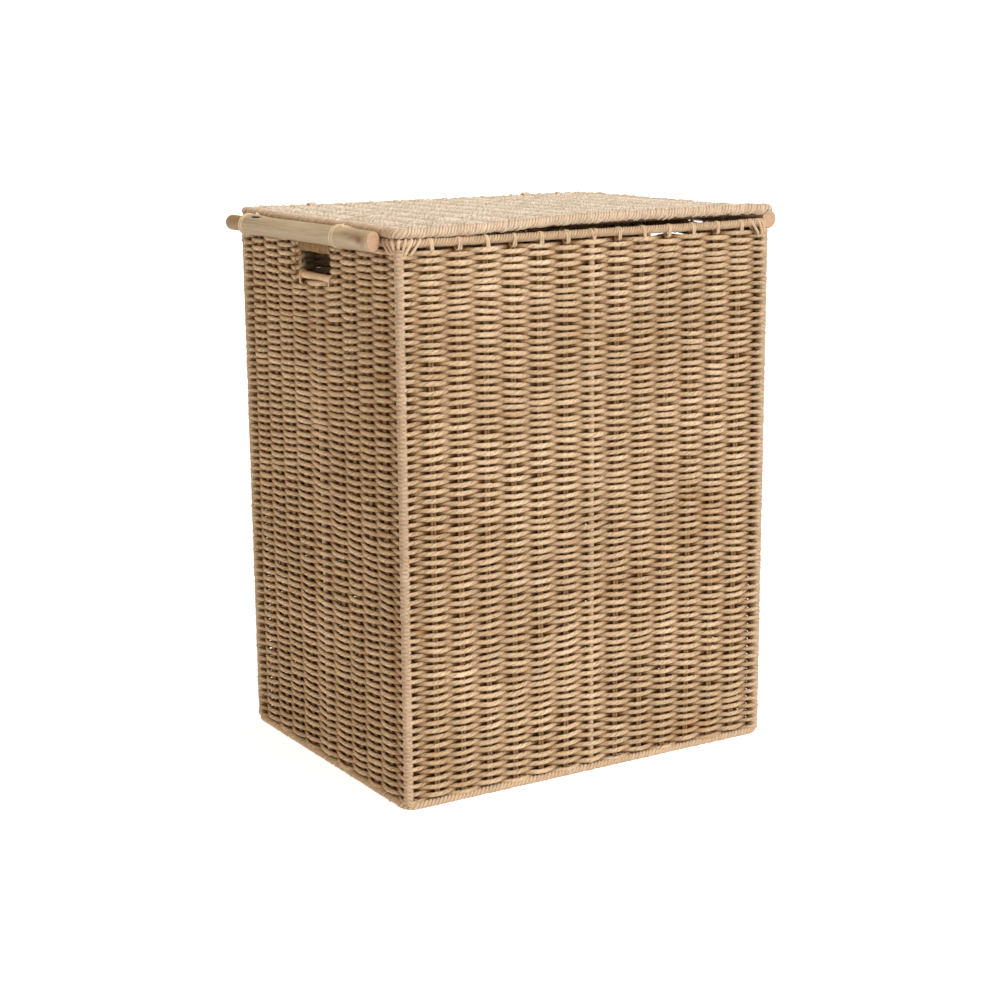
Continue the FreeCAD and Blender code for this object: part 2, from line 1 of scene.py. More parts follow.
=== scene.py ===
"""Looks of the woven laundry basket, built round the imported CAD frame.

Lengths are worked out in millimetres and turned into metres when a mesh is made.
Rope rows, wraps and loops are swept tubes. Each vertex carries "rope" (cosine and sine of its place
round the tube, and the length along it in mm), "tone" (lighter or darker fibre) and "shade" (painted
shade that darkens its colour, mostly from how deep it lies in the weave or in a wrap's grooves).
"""
import math

import bpy
import numpy as np
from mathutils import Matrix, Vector


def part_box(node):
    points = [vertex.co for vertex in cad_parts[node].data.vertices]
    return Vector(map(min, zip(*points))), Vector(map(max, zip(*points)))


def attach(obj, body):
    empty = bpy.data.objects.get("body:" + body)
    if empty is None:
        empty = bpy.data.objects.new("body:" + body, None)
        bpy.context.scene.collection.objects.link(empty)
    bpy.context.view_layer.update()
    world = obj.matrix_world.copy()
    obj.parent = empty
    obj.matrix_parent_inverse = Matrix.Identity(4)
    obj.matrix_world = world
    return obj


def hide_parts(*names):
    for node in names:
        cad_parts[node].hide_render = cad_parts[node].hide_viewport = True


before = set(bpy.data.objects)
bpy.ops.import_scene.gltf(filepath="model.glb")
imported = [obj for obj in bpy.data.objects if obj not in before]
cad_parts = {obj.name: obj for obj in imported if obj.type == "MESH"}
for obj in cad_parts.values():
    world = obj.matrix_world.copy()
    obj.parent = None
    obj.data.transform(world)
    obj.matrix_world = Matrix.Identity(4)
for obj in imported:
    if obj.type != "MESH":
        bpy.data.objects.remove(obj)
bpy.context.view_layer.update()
rng = np.random.default_rng(20611)
MM = 0.001


def cad(node):
    """Lowest corner, highest corner and middle of a CAD node in millimetres."""
    low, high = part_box(node)
    low, high = np.array(low) / MM, np.array(high) / MM
    return low, high, (low + high) / 2


# ---- places taken from the frame

_, post_high, post_middle = cad("front_right_corner_post")
POST_X, POST_Y, POST_TOP = post_middle[0], -post_middle[1], post_high[2]
_, front_high, front_middle = cad("front_stakes")
_, side_high, side_middle = cad("right_stakes")
STAKE_X, STAKE_Y = side_middle[0], -front_middle[1]
# a stake is a pair of cords: the radius of one, and how far its middle is from the pair's middle
CORD_R = 1.5
CORD_OFFSET = 1.7
STAKES_EACH_SIDE = 6
FRONT_PITCH = (front_high[0] - CORD_R - CORD_OFFSET) / STAKES_EACH_SIDE
FRONT_STAKES = [k * FRONT_PITCH for k in range(-STAKES_EACH_SIDE, STAKES_EACH_SIDE + 1)]
# the first stakes of a short wall stand at the two sides of its hand hole
SIDE_FIRST = 41.0
SIDE_LAST = side_high[1] - CORD_R - CORD_OFFSET
SIDE_STEPS = 3
SIDE_PITCH = (SIDE_LAST - SIDE_FIRST) / SIDE_STEPS
side_half = [SIDE_FIRST + k * SIDE_PITCH for k in range(SIDE_STEPS + 1)]
SIDE_STAKES = [-place for place in reversed(side_half)] + [0.0] + side_half
wall_low, wall_high, _ = cad("front_wall_weave")
WALL_BASE, WALL_TOP = wall_low[2], wall_high[2]
rim_low, rim_high, rim_middle = cad("rim_wrapping")
RIM_R, RIM_Z = (rim_high[2] - rim_low[2]) / 2, rim_middle[2]
RIM_X, RIM_Y = rim_high[0] - RIM_R, rim_high[1] - RIM_R
edge_low, edge_high, edge_middle = cad("lid_edge_wrapping")
LID_R, LID_Z = (edge_high[2] - edge_low[2]) / 2, edge_middle[2]
LID_X, LID_Y = edge_high[0] - LID_R, edge_high[1] - LID_R
panel_low, panel_high, _ = cad("lid_weave")
floor_low, floor_high, floor_middle = cad("floor_weave")
border_high = cad("base_border")[1]
BORDER_R = 3.8
bar_low, _, bar_middle = cad("left_hand_hole_lower_bar")
TOP_BAR_LOW = cad("left_hand_hole_top_bar")[0][2]
HINGE_X = cad("right_hinge_tie")[2][0]
RING_CORNER, LID_CORNER = 12.0, 8.0


# ---- mesh building

def add_attribute(mesh, name, values):
    """A number, or a vector, for every vertex."""
    kind, field = ("FLOAT_VECTOR", "vector") if values.ndim > 1 else ("FLOAT", "value")
    layer = mesh.attributes.new(name, kind, "POINT")
    layer.data.foreach_set(field, values.astype(np.float32).reshape(-1))


def smooth_faces(mesh):
    mesh.polygons.foreach_set("use_smooth", np.ones(len(mesh.polygons), dtype=bool))


class Pile:
    """Tubes gathered into one mesh."""

    def __init__(self):
        self.verts, self.quads, self.caps = [], [], []
        self.rope, self.tone, self.shade = [], [], []
        self.count = 0

    def add(self, verts, rope, tone, shade=0.0, closed=False, shift=0):
        """verts is (tubes, rings, sides, 3). A closed tube with a shift meets itself that many rings on."""
        tubes, rings, sides, _ = verts.shape
        index = self.count + np.arange(tubes * rings * sides).reshape(tubes, rings, sides)
        turn = np.concatenate([index[:, :, 1:], np.roll(index[:, :, :1], -shift, axis=1)], axis=2)
        quads = np.stack([index, np.roll(index, -1, axis=1), np.roll(turn, -1, axis=1), turn], axis=-1)
        if not closed:
            quads = quads[:, :-1]
            self.caps.append(index[:, 0, ::-1])
            self.caps.append(index[:, -1, :])
        self.quads.append(quads.reshape(-1, 4))
        shape = (tubes, rings, sides)
        self.verts.append(verts.reshape(-1, 3))
        self.rope.append(np.broadcast_to(rope, shape + (3,)).reshape(-1, 3))
        self.tone.append(np.broadcast_to(tone, shape).reshape(-1))
        self.shade.append(np.broadcast_to(shade, shape).reshape(-1))
        self.count += tubes * rings * sides

    def build(self, name, body, slot, material, replaced=(), move=None):
        """Make the piece. move, where given, shifts the vertices first."""
        verts = np.concatenate(self.verts)
        if move is not None:
            verts = move(verts)
        quads = np.concatenate(self.quads)
        caps = [row for group in self.caps for row in group]
        sizes = np.array([4] * len(quads) + [len(c) for c in caps], dtype=np.int32)
        loops = np.concatenate([quads.reshape(-1)] + caps) if caps else quads.reshape(-1)
        mesh = bpy.data.meshes.new(name)
        mesh.vertices.add(len(verts))
        mesh.vertices.foreach_set("co", (verts * MM).astype(np.float32).reshape(-1))
        mesh.loops.add(len(loops))
        mesh.loops.foreach_set("vertex_index", loops.astype(np.int32))
        mesh.polygons.add(len(sizes))
        starts = np.concatenate([[0], np.cumsum(sizes)[:-1]]).astype(np.int32)
        mesh.polygons.foreach_set("loop_start", starts)
        mesh.update(calc_edges=True)
        smooth_faces(mesh)
        for label, values in (("rope", self.rope), ("tone", self.tone), ("shade", self.shade)):
            add_attribute(mesh, label, np.concatenate(values))
        mesh.materials.append(material)
        return place(name, mesh, body, slot, replaced)


def show(name, data):
    """A new object in the scene, with its data."""
    thing = bpy.data.objects.new(name, data)
    bpy.context.scene.collection.objects.link(thing)
    return thing


def place(name, mesh, body, slot, replaced=()):
    """Put a mesh in the scene as a piece that rides on a body and stands for CAD nodes."""
    piece = show(name, mesh)
    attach(piece, body)
    if replaced:
        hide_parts(*replaced)
    return piece


def unit(vectors):
    return vectors / np.linalg.norm(vectors, axis=-1, keepdims=True)


def painted_depth_shade(facing, surface, skin, darkest):
    """Painted shade: 0 on the outermost surface of a weave, up to 1 where it lies deepest and its colour is
    painted darkest, for both of its sides.
    """
    return np.clip(np.where(facing > 0, skin - surface, skin + surface) / darkest, 0, 1)


def run_length(points):
    """Length along each path at each of its points."""
    steps = np.linalg.norm(np.diff(points, axis=-2), axis=-1)
    return np.concatenate([np.zeros(steps.shape[:-1] + (1,)), np.cumsum(steps, axis=-1)], axis=-1)


def sweep(points, out, up, reach_out, reach_up, sides, rough=0.0):
    """Tube surfaces round centrelines: points, out and up are (tubes, rings, 3)."""
    angle = np.arange(sides) * 2 * math.pi / sides
    lumps = 1 + rng.normal(0, rough, points.shape[:2] + (sides,))
    across = reach_out[..., None] * np.cos(angle) * lumps
    above = reach_up[..., None] * np.sin(angle) * lumps
    verts = points[:, :, None] + across[..., None] * out[:, :, None] + above[..., None] * up[:, :, None]
    length = run_length(points)
    rope = np.empty(verts.shape)
    rope[..., 0] = np.cos(angle)
    rope[..., 1] = np.sin(angle)
    rope[..., 2] = length[:, :, None]
    return verts, rope


def frames(points, reference, closed):
    """Out and up directions of one path, with up as near the reference as the path allows."""
    if closed:
        along = unit(np.roll(points, -1, axis=0) - np.roll(points, 1, axis=0))
    else:
        along = unit(np.gradient(points, axis=0))
    reference = np.broadcast_to(np.asarray(reference, float), points.shape)
    up = unit(reference - (reference * along).sum(-1, keepdims=True) * along)
    return np.cross(along, up), up


def tube(pile, points, reference, radius, sides=8, closed=False, tone=0.0, shade=0.0):
    """A plain cord along one path."""
    points = np.asarray(points, float)
    out, up = frames(points, reference, closed)
    radius = np.broadcast_to(np.asarray(radius, float), (len(points),))
    verts, rope = sweep(points[None], out[None], up[None], radius[None], radius[None], sides)
    pile.add(verts, rope, tone, shade, closed=closed)


def resample(points, count, closed):
    """Evenly spaced points along a path."""
    points = np.asarray(points, float)
    if closed:
        points = np.concatenate([points, points[:1]])
    length = run_length(points)
    want = np.linspace(0, length[-1], count, endpoint=not closed)
    return np.stack([np.interp(want, length, points[:, k]) for k in range(3)], axis=-1)


def straight(start, end, count):
    return resample([start, end], count, False)


def bead(fraction):
    """Height of a round cord's back across its width, from 0 at the groove to 1 on top."""
    return np.sqrt(np.maximum(0.0, 1 - 0.97 * (2 * fraction - 1) ** 2))


WOUND_TONE = 0.5
# painted shade in the grooves between a wrap's turns, at its darkest
WOUND_SHADE = 0.8


def wound(pile, path, reference, radius, ridge, pitch, starts=1, steps=5, sides=12, closed=True,
          section=None, uneven=0.14):
    """A rod wound tightly with cord: ridged rings whose turns differ a little."""
    whole = run_length(np.concatenate([path, path[:1]]) if closed else np.asarray(path))[-1]
    turns = int(round(whole / pitch / starts)) * starts
    rings = turns * steps + (0 if closed else 1)
    points = resample(path, rings, closed)
    out, up = frames(points, reference, closed)
    step = whole / (turns * steps)
    angle = np.arange(sides) * 2 * math.pi / sides
    lean = np.arange(sides) / sides * starts * steps
    place_along = np.arange(rings)[:, None] + (lean[None] if closed else np.zeros((1, sides)))
    if closed:
        low = np.floor(place_along).astype(int) % rings
        high = (low + 1) % rings
        mix = (place_along - np.floor(place_along))[..., None]
        centre, out_at, up_at = (values[low] * (1 - mix) + values[high] * mix for values in (points, out, up))
        out_at, up_at = unit(out_at), unit(up_at)
        phase = np.broadcast_to(np.arange(rings)[:, None] / steps, (rings, sides))
    else:
        centre, out_at, up_at = (
            np.broadcast_to(values[:, None], (rings, sides, 3)) for values in (points, out, up)
        )
        phase = place_along / steps + np.arange(sides)[None] / sides * starts
    cord = np.floor(phase).astype(int) % max(turns, 1)
    fat = rng.normal(0, uneven, turns)[cord]
    shine = rng.uniform(-WOUND_TONE, WOUND_TONE, turns)[cord]
    height = bead(phase % 1.0)
    reach = radius - ridge + ridge * height * (1 + fat)
    if section is None:
        round_it = np.cos(angle)[None, :, None] * out_at + np.sin(angle)[None, :, None] * up_at
        offset = reach[..., None] * round_it
    else:
        offset = section(angle, reach, out_at, up_at)
    verts = centre + offset
    rope = np.empty(verts.shape)
    rope[..., 0] = np.cos(angle)
    rope[..., 1] = np.sin(angle)
    rope[..., 2] = place_along * step
    # painted shade, darkest in the grooves between turns
    shade = np.clip(1 - height, 0, 1) * WOUND_SHADE
    pile.add(verts[None], rope[None], shine[None], shade[None], closed=closed,
             shift=starts * steps if closed else 0)


ARC_POINTS = 10
STRAIGHT_POINTS = 24


def rounded_loop(half_x, half_y, corner, height):
    """A closed path round a rounded rectangle, from the front right corner by way of the back."""
    arcs = []
    for centre_x, centre_y, start in (
        (half_x - corner, corner - half_y, -90), (half_x - corner, half_y - corner, 0),
        (corner - half_x, half_y - corner, 90), (corner - half_x, corner - half_y, 180),
    ):
        arcs.append(np.array([
            (centre_x + corner * math.cos(angle), centre_y + corner * math.sin(angle), height)
            for angle in np.radians(np.linspace(start, start + 90, ARC_POINTS))
        ]))
    shares = np.linspace(0, 1, STRAIGHT_POINTS + 2)[1:-1, None]
    runs = []
    for arc, following in zip(arcs, arcs[1:] + arcs[:1]):
        runs += [arc, arc[-1] + (following[0] - arc[-1]) * shares]
    return np.concatenate(runs)


# ---- slow waves in the weave

def waves(count, low_length, high_length, stretch_z):
    """A smooth random field of x, y and z, about -1 to 1."""
    lengths = rng.uniform(low_length, high_length, count)
    turn = rng.normal(0, 1, (count, 3))
    turn[:, 2] *= stretch_z
    turn = unit(turn) * (2 * math.pi / lengths)[:, None]
    phase = rng.uniform(0, 2 * math.pi, count)

    def field(points):
        return np.sin(points @ turn.T + phase).sum(-1) * math.sqrt(1.4 / count)

    return field


broad_wave = waves(7, 190, 420, 1.0)
near_wave = waves(9, 70, 130, 1.2)
crowding = waves(12, 28, 60, 2.2)
tone_patch = waves(9, 60, 240, 1.5)


def smooth(value, start, end):
    """An even ramp from 0 at start to 1 at end."""
    share = np.clip((value - start) / (end - start), 0, 1)
    return share * share * (3 - 2 * share)


def row_drift(points):
    """How far the rows wander up or down, in mm. They lie level at the foot and at the rim."""
    height = points[..., 2]
    calm = smooth(height, 12, 70) * (1 - smooth(height, 520, 566))
    spread = smooth(height, 10, 40) * (1 - smooth(height, 545, 568))
    return calm * (1.9 * broad_wave(points) + 0.8 * near_wave(points)) + spread * 0.5 * crowding(points)


# ---- woven walls

ROWS = 136
ROPE = 2.6
# how far the rope swings in and out past the stakes, and past the corner posts
WEAVE_DEPTH = 4.1
CORNER_DEPTH = 3.2
# by what share the rows lie further apart at the foot, and closer at the rim
FOOT_SPREAD = 0.062
first_row = WALL_BASE + 0.4
last_row = WALL_TOP - 1.4
share = np.arange(ROWS) / (ROWS - 1)
ROW_HEIGHTS = first_row + (last_row - first_row) * (share + FOOT_SPREAD * share * (1 - share))
# rows over this height stop at the hand holes
HOLE_LOW = bar_low[2] + 1.5


class Wall:
    """One wall: its directions, half sizes and the places of its stakes."""

    def __init__(self, name, along, outward, half_along, half_across, stakes):
        self.name = name
        self.along = np.array(along + (0.0,))
        self.outward = np.array(outward + (0.0,))
        self.half_along = half_along
        self.half_across = half_across
        self.stakes = stakes

    def path(self, place, corner):
        """Point and outward direction at a signed length from the wall's middle."""
        straight = self.half_along - corner
        angle = np.clip((np.abs(place) - straight) / corner, 0, math.pi / 4)
        sign = np.sign(place)
        on_line = np.clip(place, -straight, straight)
        along = on_line + sign * corner * np.sin(angle)
        across = self.half_across - corner + corner * np.cos(angle)
        point = along[:, None] * self.along + across[:, None] * self.outward
        out = (sign * np.sin(angle))[:, None] * self.along + np.cos(angle)[:, None] * self.outward
        return point, out

    def end(self, corner):
        """Length from the wall's middle to halfway round its corner."""
        return self.half_along - corner + corner * math.pi / 4


WALLS = [
    Wall("front", (1.0, 0.0), (0.0, -1.0), STAKE_X, STAKE_Y, FRONT_STAKES),
    Wall("right", (0.0, 1.0), (1.0, 0.0), STAKE_Y, STAKE_X, SIDE_STAKES),
    Wall("back", (-1.0, 0.0), (0.0, 1.0), STAKE_X, STAKE_Y, FRONT_STAKES),
    Wall("left", (0.0, -1.0), (-1.0, 0.0), STAKE_Y, STAKE_X, SIDE_STAKES),
]
# corner radius of the rows that pass outside the posts, and of those that pass inside
OUTER_CORNER, INNER_CORNER = 2.0, 14.0
SEGMENTS = 8
ROW_SIDES = 10
UP = np.array([0.0, 0.0, 1.0])
row_tone = rng.normal(0, 0.22, ROWS)
row_twist = rng.uniform(0, 60, ROWS)
# how the bumps of a row differ, as standard deviations
LIFT_SPREAD, FAT_SPREAD, PUSH_SPREAD, BUMP_TONE_SPREAD = 0.38, 0.045, 0.22, 0.30
ROUGH = 0.055
# the outermost surface of the rope, from the wall's middle, and the depth at which its painted shade is
# darkest
SKIN, DARKEST = 6.4, 9.5
# the rows of the left wall part a little beside the front lower corner of its hand hole
SLOT_Y, SLOT_LENGTH, SLOT_OVER_HOLE, SLOT_OPENING, SLOT_FADE = -50, 13, 5.5, 1.3, 7


def row_samples(wall, corner):
    """Places along the wall, closer together round the corners, and how many stakes have gone by."""
    end = wall.end(corner)
    marks = np.array([-end] + list(wall.stakes) + [end])
    count = len(marks) - 1
    steady = np.interp(np.linspace(0, count, count * SEGMENTS + 1), np.arange(count + 1), marks)
    inner = steady[np.abs(steady) < end - 5.5]
    tight = np.linspace(end - 4.0, end, 5)
    places = np.concatenate([-tight[::-1], inner, tight])
    return places, np.interp(places, marks, np.arange(count + 1))


def weave_rows(pile, wall, rows, sign, gap=False):
    """Rows of one wall that are all outside, or all inside, at the corner posts. gap leaves a hand hole."""
    corner = OUTER_CORNER if sign > 0 else INNER_CORNER
    places, phase = row_samples(wall, corner)
    spans = [slice(None)]
    if gap:
        middle = len(wall.stakes) // 2 + 1
        stop = int(np.searchsorted(phase, middle - 1 + 1e-6))
        begin = int(np.searchsorted(phase, middle + 1 - 1e-6))
        spans = [slice(0, stop), slice(begin, None)]
    point, out = wall.path(places, corner)
    swing = np.cos(math.pi * phase)
    over = np.abs(swing)
    count = len(wall.stakes) + 2
    rows = np.asarray(rows)
    tubes = len(rows)
    knots = np.arange(count)

    def per_bump(spread):
        values = rng.normal(0, spread, (tubes, count))
        values[:, 0] = values[:, -1] = 0
        return np.stack([np.interp(phase, knots, v) for v in values])

    lift = per_bump(LIFT_SPREAD)
    fat = 1 + per_bump(FAT_SPREAD)
    push = per_bump(PUSH_SPREAD)
    near_corner = np.maximum(0, 1 - np.minimum(phase, count - 1 - phase))
    depth = sign * swing * (WEAVE_DEPTH + (CORNER_DEPTH - WEAVE_DEPTH) * near_corner * (sign > 0)) + push
    centres = np.broadcast_to(point, (tubes,) + point.shape).copy()
    centres[..., 2] = ROW_HEIGHTS[rows][:, None]
    centres[..., 2] += row_drift(centres) + lift
    if wall.name == "left":
        away = (centres[..., 1] - SLOT_Y) / SLOT_LENGTH
        above = centres[..., 2] - (HOLE_LOW + SLOT_OVER_HOLE)
        fading = np.exp(-away ** 2) * np.exp(-np.abs(above) / SLOT_FADE)
        centres[..., 2] += SLOT_OPENING * np.sign(above) * fading
    centres += depth[..., None] * out
    inside = np.clip(-sign * swing, 0, 1)
    reach_up = ROPE * (0.96 + 0.05 * over ** 0.5) * (1 + 0.5 * inside * (1 - 0.8 * near_corner)) * fat
    reach_up = reach_up * (1 - 0.14 * near_corner)
    reach_out = ROPE * (0.98 - 0.05 * over) * fat
    if sign > 0:
        reach_out = reach_out * (1 - 0.30 * near_corner)
    outs = np.broadcast_to(out, centres.shape)
    ups = np.broadcast_to(UP, centres.shape)
    bump_tone = per_bump(BUMP_TONE_SPREAD)
    for span in spans:
        verts, rope = sweep(centres[:, span], outs[:, span], ups[:, span], reach_out[:, span],
                            reach_up[:, span], ROW_SIDES, ROUGH)
        rope[..., 2] += row_twist[rows][:, None, None]
        tone = row_tone[rows][:, None] + bump_tone[:, span] + 0.35 * tone_patch(centres[:, span])
        facing = rope[..., 0]
        surface = depth[:, span, None] + facing * reach_out[:, span, None]
        # the shade attribute is painted shade, from how deep the surface lies in the weave
        pile.add(verts, rope, tone[..., None], painted_depth_shade(facing, surface, SKIN, DARKEST))


def hole_turns(pile, wall, paired):
    """Rope that turns back round the stake at each side of a hand hole, from one row to the next."""
    for low_row in paired:
        for sign in (-1, 1):
            middle = sign * SIDE_FIRST
            angle = np.linspace(0, math.pi, 9)
            place = middle - sign * 1.7 * np.sin(angle)
            depth = WEAVE_DEPTH * np.cos(angle)
            base = place[:, None] * wall.along + (wall.half_across + depth)[:, None] * wall.outward
            levels = ROW_HEIGHTS[low_row:low_row + 2]
            ends = base[[0, -1]] + levels[:, None] * UP
            heights = ends[:, 2] + row_drift(ends)
            base[:, 2] = np.interp(angle, [0, math.pi], heights)
            # a little painted shade over the whole turn
            tube(pile, base, UP, ROPE * 1.02, sides=8, tone=rng.normal(0.15, 0.3), shade=0.12)


# ---- materials

class Nodes:
    """Short names for building a node material."""

    def __init__(self, name):
        self.material = bpy.data.materials.new(name)
        self.material.use_nodes = True
        self.tree = self.material.node_tree
        self.tree.nodes.clear()
        self.shader = self.new("BsdfPrincipled")
        output = self.new("OutputMaterial")
        self.join(self.shader.outputs[0], output.inputs["Surface"])

    def new(self, kind):
        return self.tree.nodes.new("ShaderNode" + kind)

    def join(self, a, b):
        self.tree.links.new(a, b)

    def feed(self, socket, value):
        if isinstance(value, bpy.types.NodeSocket):
            self.join(value, socket)
        else:
            socket.default_value = value

    def math(self, operation, *values, clamp=False):
        node = self.new("Math")
        node.operation = operation
        node.use_clamp = clamp
        for socket, value in zip(node.inputs, values):
            self.feed(socket, value)
        return node.outputs[0]

    def plus(self, a, b, clamp=False):
        return self.math("ADD", a, b, clamp=clamp)

    def minus(self, a, b):
        return self.math("SUBTRACT", a, b)

    def times(self, a, b, clamp=False):
        return self.math("MULTIPLY", a, b, clamp=clamp)

    def about(self, value, amount):
        """A value that lies round a half, spread round 0 by an amount."""
        return self.times(self.minus(value, 0.5), amount)

    def above(self, value, start, slope):
        """0 up to the start, then a slope up to 1."""
        return self.times(self.minus(value, start), slope, clamp=True)

    def attribute(self, name, output="Fac"):
        node = self.new("Attribute")
        node.attribute_name = name
        return node.outputs[output]

    def place(self, scale=(1, 1, 1)):
        """Object coordinates, stretched."""
        coords = self.new("TexCoord")
        mapping = self.new("Mapping")
        mapping.inputs["Scale"].default_value = scale
        self.join(coords.outputs["Object"], mapping.inputs["Vector"])
        return mapping.outputs[0]

    def combine(self, *values):
        node = self.new("CombineXYZ")
        for socket, value in zip(node.inputs, values):
            self.feed(socket, value)
        return node.outputs[0]

    def round_rope(self):
        """Angle round the rope and length along it in mm, from the rope attribute."""
        split = self.new("SeparateXYZ")
        self.join(self.attribute("rope", "Vector"), split.inputs[0])
        return self.math("ARCTAN2", split.outputs["Y"], split.outputs["X"]), split.outputs["Z"]

    def noise(self, vector, scale, detail=2.0, roughness=0.5):
        node = self.new("TexNoise")
        self.join(vector, node.inputs["Vector"])
        node.inputs["Scale"].default_value = scale
        node.inputs["Detail"].default_value = detail
        node.inputs["Roughness"].default_value = roughness
        return node.outputs["Fac"]

    def ramp(self, value, stops):
        node = self.new("ValToRGB")
        elements = node.color_ramp.elements
        while len(elements) < len(stops):
            elements.new(0.5)
        for element, (position, colour) in zip(elements, stops):
            element.position = position
            element.color = tuple(colour) + (1.0,)
        self.join(value, node.inputs["Fac"])
        return node.outputs["Color"]

    def mix(self, factor, a, b, blend="MIX"):
        node = self.new("Mix")
        node.data_type = "RGBA"
        node.blend_type = blend
        self.feed(node.inputs["Factor"], factor)
        for socket, value in ((node.inputs[6], a), (node.inputs[7], b)):
            self.feed(socket, value if isinstance(value, bpy.types.NodeSocket) else tuple(value) + (1.0,))
        return node.outputs[2]

    def bump(self, height, distance, strength=1.0, after=None):
        node = self.new("Bump")
        node.inputs["Strength"].default_value = strength
        node.inputs["Distance"].default_value = distance
        self.join(height, node.inputs["Height"])
        if after is not None:
            self.join(after, node.inputs["Normal"])
        return node.outputs[0]

    def finish(self, colour, roughness, normal=None, specular=0.25):
        self.feed(self.shader.inputs["Base Color"], colour)
        self.feed(self.shader.inputs["Roughness"], roughness)
        self.shader.inputs["Specular IOR Level"].default_value = specular
        if normal is not None:
            self.join(normal, self.shader.inputs["Normal"])
        return self.material


def tinted(colour, factors):
    """A colour with a factor for each channel, kept within 1."""
    return tuple(min(1.0, channel * factor) for channel, factor in zip(colour, factors))


def scaled(colour, factor):
    return tinted(colour, (factor, factor, factor))


# what a rope's own colour is multiplied by: for its tone, for painted shade in its grooves and creases, for
# its flecks, and for painted shade deep in the weave
WARM_TINT, PALE_TINT = (0.72, 0.60, 0.46), (1.22, 1.28, 1.38)
GROOVE_PAINTED_SHADE, CREASE_PAINTED_SHADE, FLECK_TINT = (0.50, 0.33, 0.17), (0.52, 0.38, 0.22), (0.42, 0.30, 0.18)
SHADE_TINT = (0.95, 0.78, 0.50)
STRANDS = 3
ROPE_ROUGHNESS, ROPE_SPECULAR = 0.86, 0.06


def rope_material(name, colour, painted_shade_colour=(0.060, 0.018, 0.002), pitch=4.6, relief=0.7, painted_shade_strength=1.0,
                  contrast=1.0, groove_shade_strength=0.8, flecks=0.0, creases=0.0):
    """Twisted paper rope: slanting ridges, fibres, warm and pale stretches, and painted shade in its twist
    grooves, its creases and the weave's depths.
    """
    n = Nodes(name)
    around, length = n.round_rope()
    wander = n.noise(n.place(), 110.0, 3.0, 0.6)
    along = n.times(length, 2 * math.pi / pitch)
    twist = n.minus(n.times(around, float(STRANDS)), along)
    twist = n.plus(twist, n.times(wander, 10.0))
    ridge = n.math("ABSOLUTE", n.math("SINE", n.times(twist, 0.5)))
    patchy = n.above(n.noise(n.place(), 170.0, 2.0), 0.25, 3.0)
    ridge = n.minus(1.0, n.times(n.minus(1.0, n.math("POWER", ridge, 0.85)), patchy))
    slant = n.minus(around, n.times(length, 2 * math.pi / (pitch * STRANDS)))
    crease_place = n.combine(n.math("COSINE", slant), n.math("SINE", slant), n.times(length, 0.11))
    crease = n.noise(crease_place, 1.7, 3.0, 0.6)
    tone = n.attribute("tone")
    fibre = n.noise(n.combine(n.times(twist, 0.9), n.times(length, 0.22), n.times(tone, 9.0)), 1.6, 3.0, 0.6)
    fine = n.noise(n.place(), 900.0, 2.0)
    patch = n.noise(n.place((1, 1, 2.5)), 34.0, 2.0)
    level = n.plus(0.5, n.times(tone, 0.30 * contrast))
    level = n.plus(level, n.about(patch, 0.55 * contrast))
    level = n.plus(level, n.about(fibre, 0.55 * contrast))
    level = n.plus(level, n.about(fine, 0.25), clamp=True)
    base = n.ramp(level, [(0.0, tinted(colour, WARM_TINT)), (0.32, scaled(colour, 0.86)),
                          (0.6, colour), (1.0, tinted(colour, PALE_TINT))])
    # painted shade: the grooves between the twist ridges are mixed towards a darker colour
    groove = n.times(n.minus(1.0, ridge), groove_shade_strength, clamp=True)
    base = n.mix(groove, base, tinted(colour, GROOVE_PAINTED_SHADE))
    if creases:
        # painted shade: the dents of the crease bump are mixed towards a darker colour
        fold = n.times(n.minus(0.50, crease), 4.5, clamp=True)
        base = n.mix(n.times(fold, creases), base, tinted(colour, CREASE_PAINTED_SHADE))
    if flecks:
        spots = n.above(n.noise(n.place(), 420.0, 2.0, 0.6), 0.62, 14.0)
        base = n.mix(n.times(spots, flecks), base, tinted(colour, FLECK_TINT))
    # painted shade: the deeper a vertex lies in the weave, the darker and warmer its colour is painted
    shade = n.attribute("shade")
    base = n.mix(n.above(shade, 0.36, 2.2 * painted_shade_strength), base, SHADE_TINT, "MULTIPLY")
    base = n.mix(n.times(n.math("POWER", shade, 1.4), painted_shade_strength, clamp=True), base, painted_shade_colour)
    normal = n.bump(ridge, relief * MM, 1.0)
    normal = n.bump(fibre, 0.12 * MM, 0.8, normal)
    if creases:
        normal = n.bump(crease, 2.2 * MM, 1.0, normal)
    return n.finish(base, ROPE_ROUGHNESS, normal, specular=ROPE_SPECULAR)


# phase of a cord's ridges in radians per metre along it, and per metre across it
CORD_RIDGES, CORD_LEAN = 2300.0, 1500.0


def cord_material(name, colour, axis, strength=1.0):
    """Twisted cord on a plain CAD solid: fine slanting ridges from its place in the object."""
    n = Nodes(name)
    split = n.new("SeparateXYZ")
    n.join(n.new("TexCoord").outputs["Object"], split.inputs[0])
    along = split.outputs[axis]
    others = [split.outputs[k] for k in "XYZ" if k != axis]
    lean = n.times(n.plus(others[0], others[1]), CORD_LEAN)
    wave = n.math("SINE", n.plus(n.times(along, CORD_RIDGES), lean))
    ridge = n.math("ABSOLUTE", wave)
    patch = n.noise(n.place(), 60.0, 3.0)
    fine = n.noise(n.place(), 1100.0, 2.0)
    level = n.plus(n.times(patch, 0.7), n.times(fine, 0.3))
    base = n.ramp(level, [(0.25, scaled(colour, 0.7)), (0.55, colour), (0.8, scaled(colour, 1.25))])
    # painted shade: the grooves between the ridges are mixed towards a darker colour
    base = n.mix(n.times(n.minus(1.0, ridge), 0.4), base, scaled(colour, 0.4))
    return n.finish(base, 0.85, n.bump(ridge, 0.2 * MM, strength))


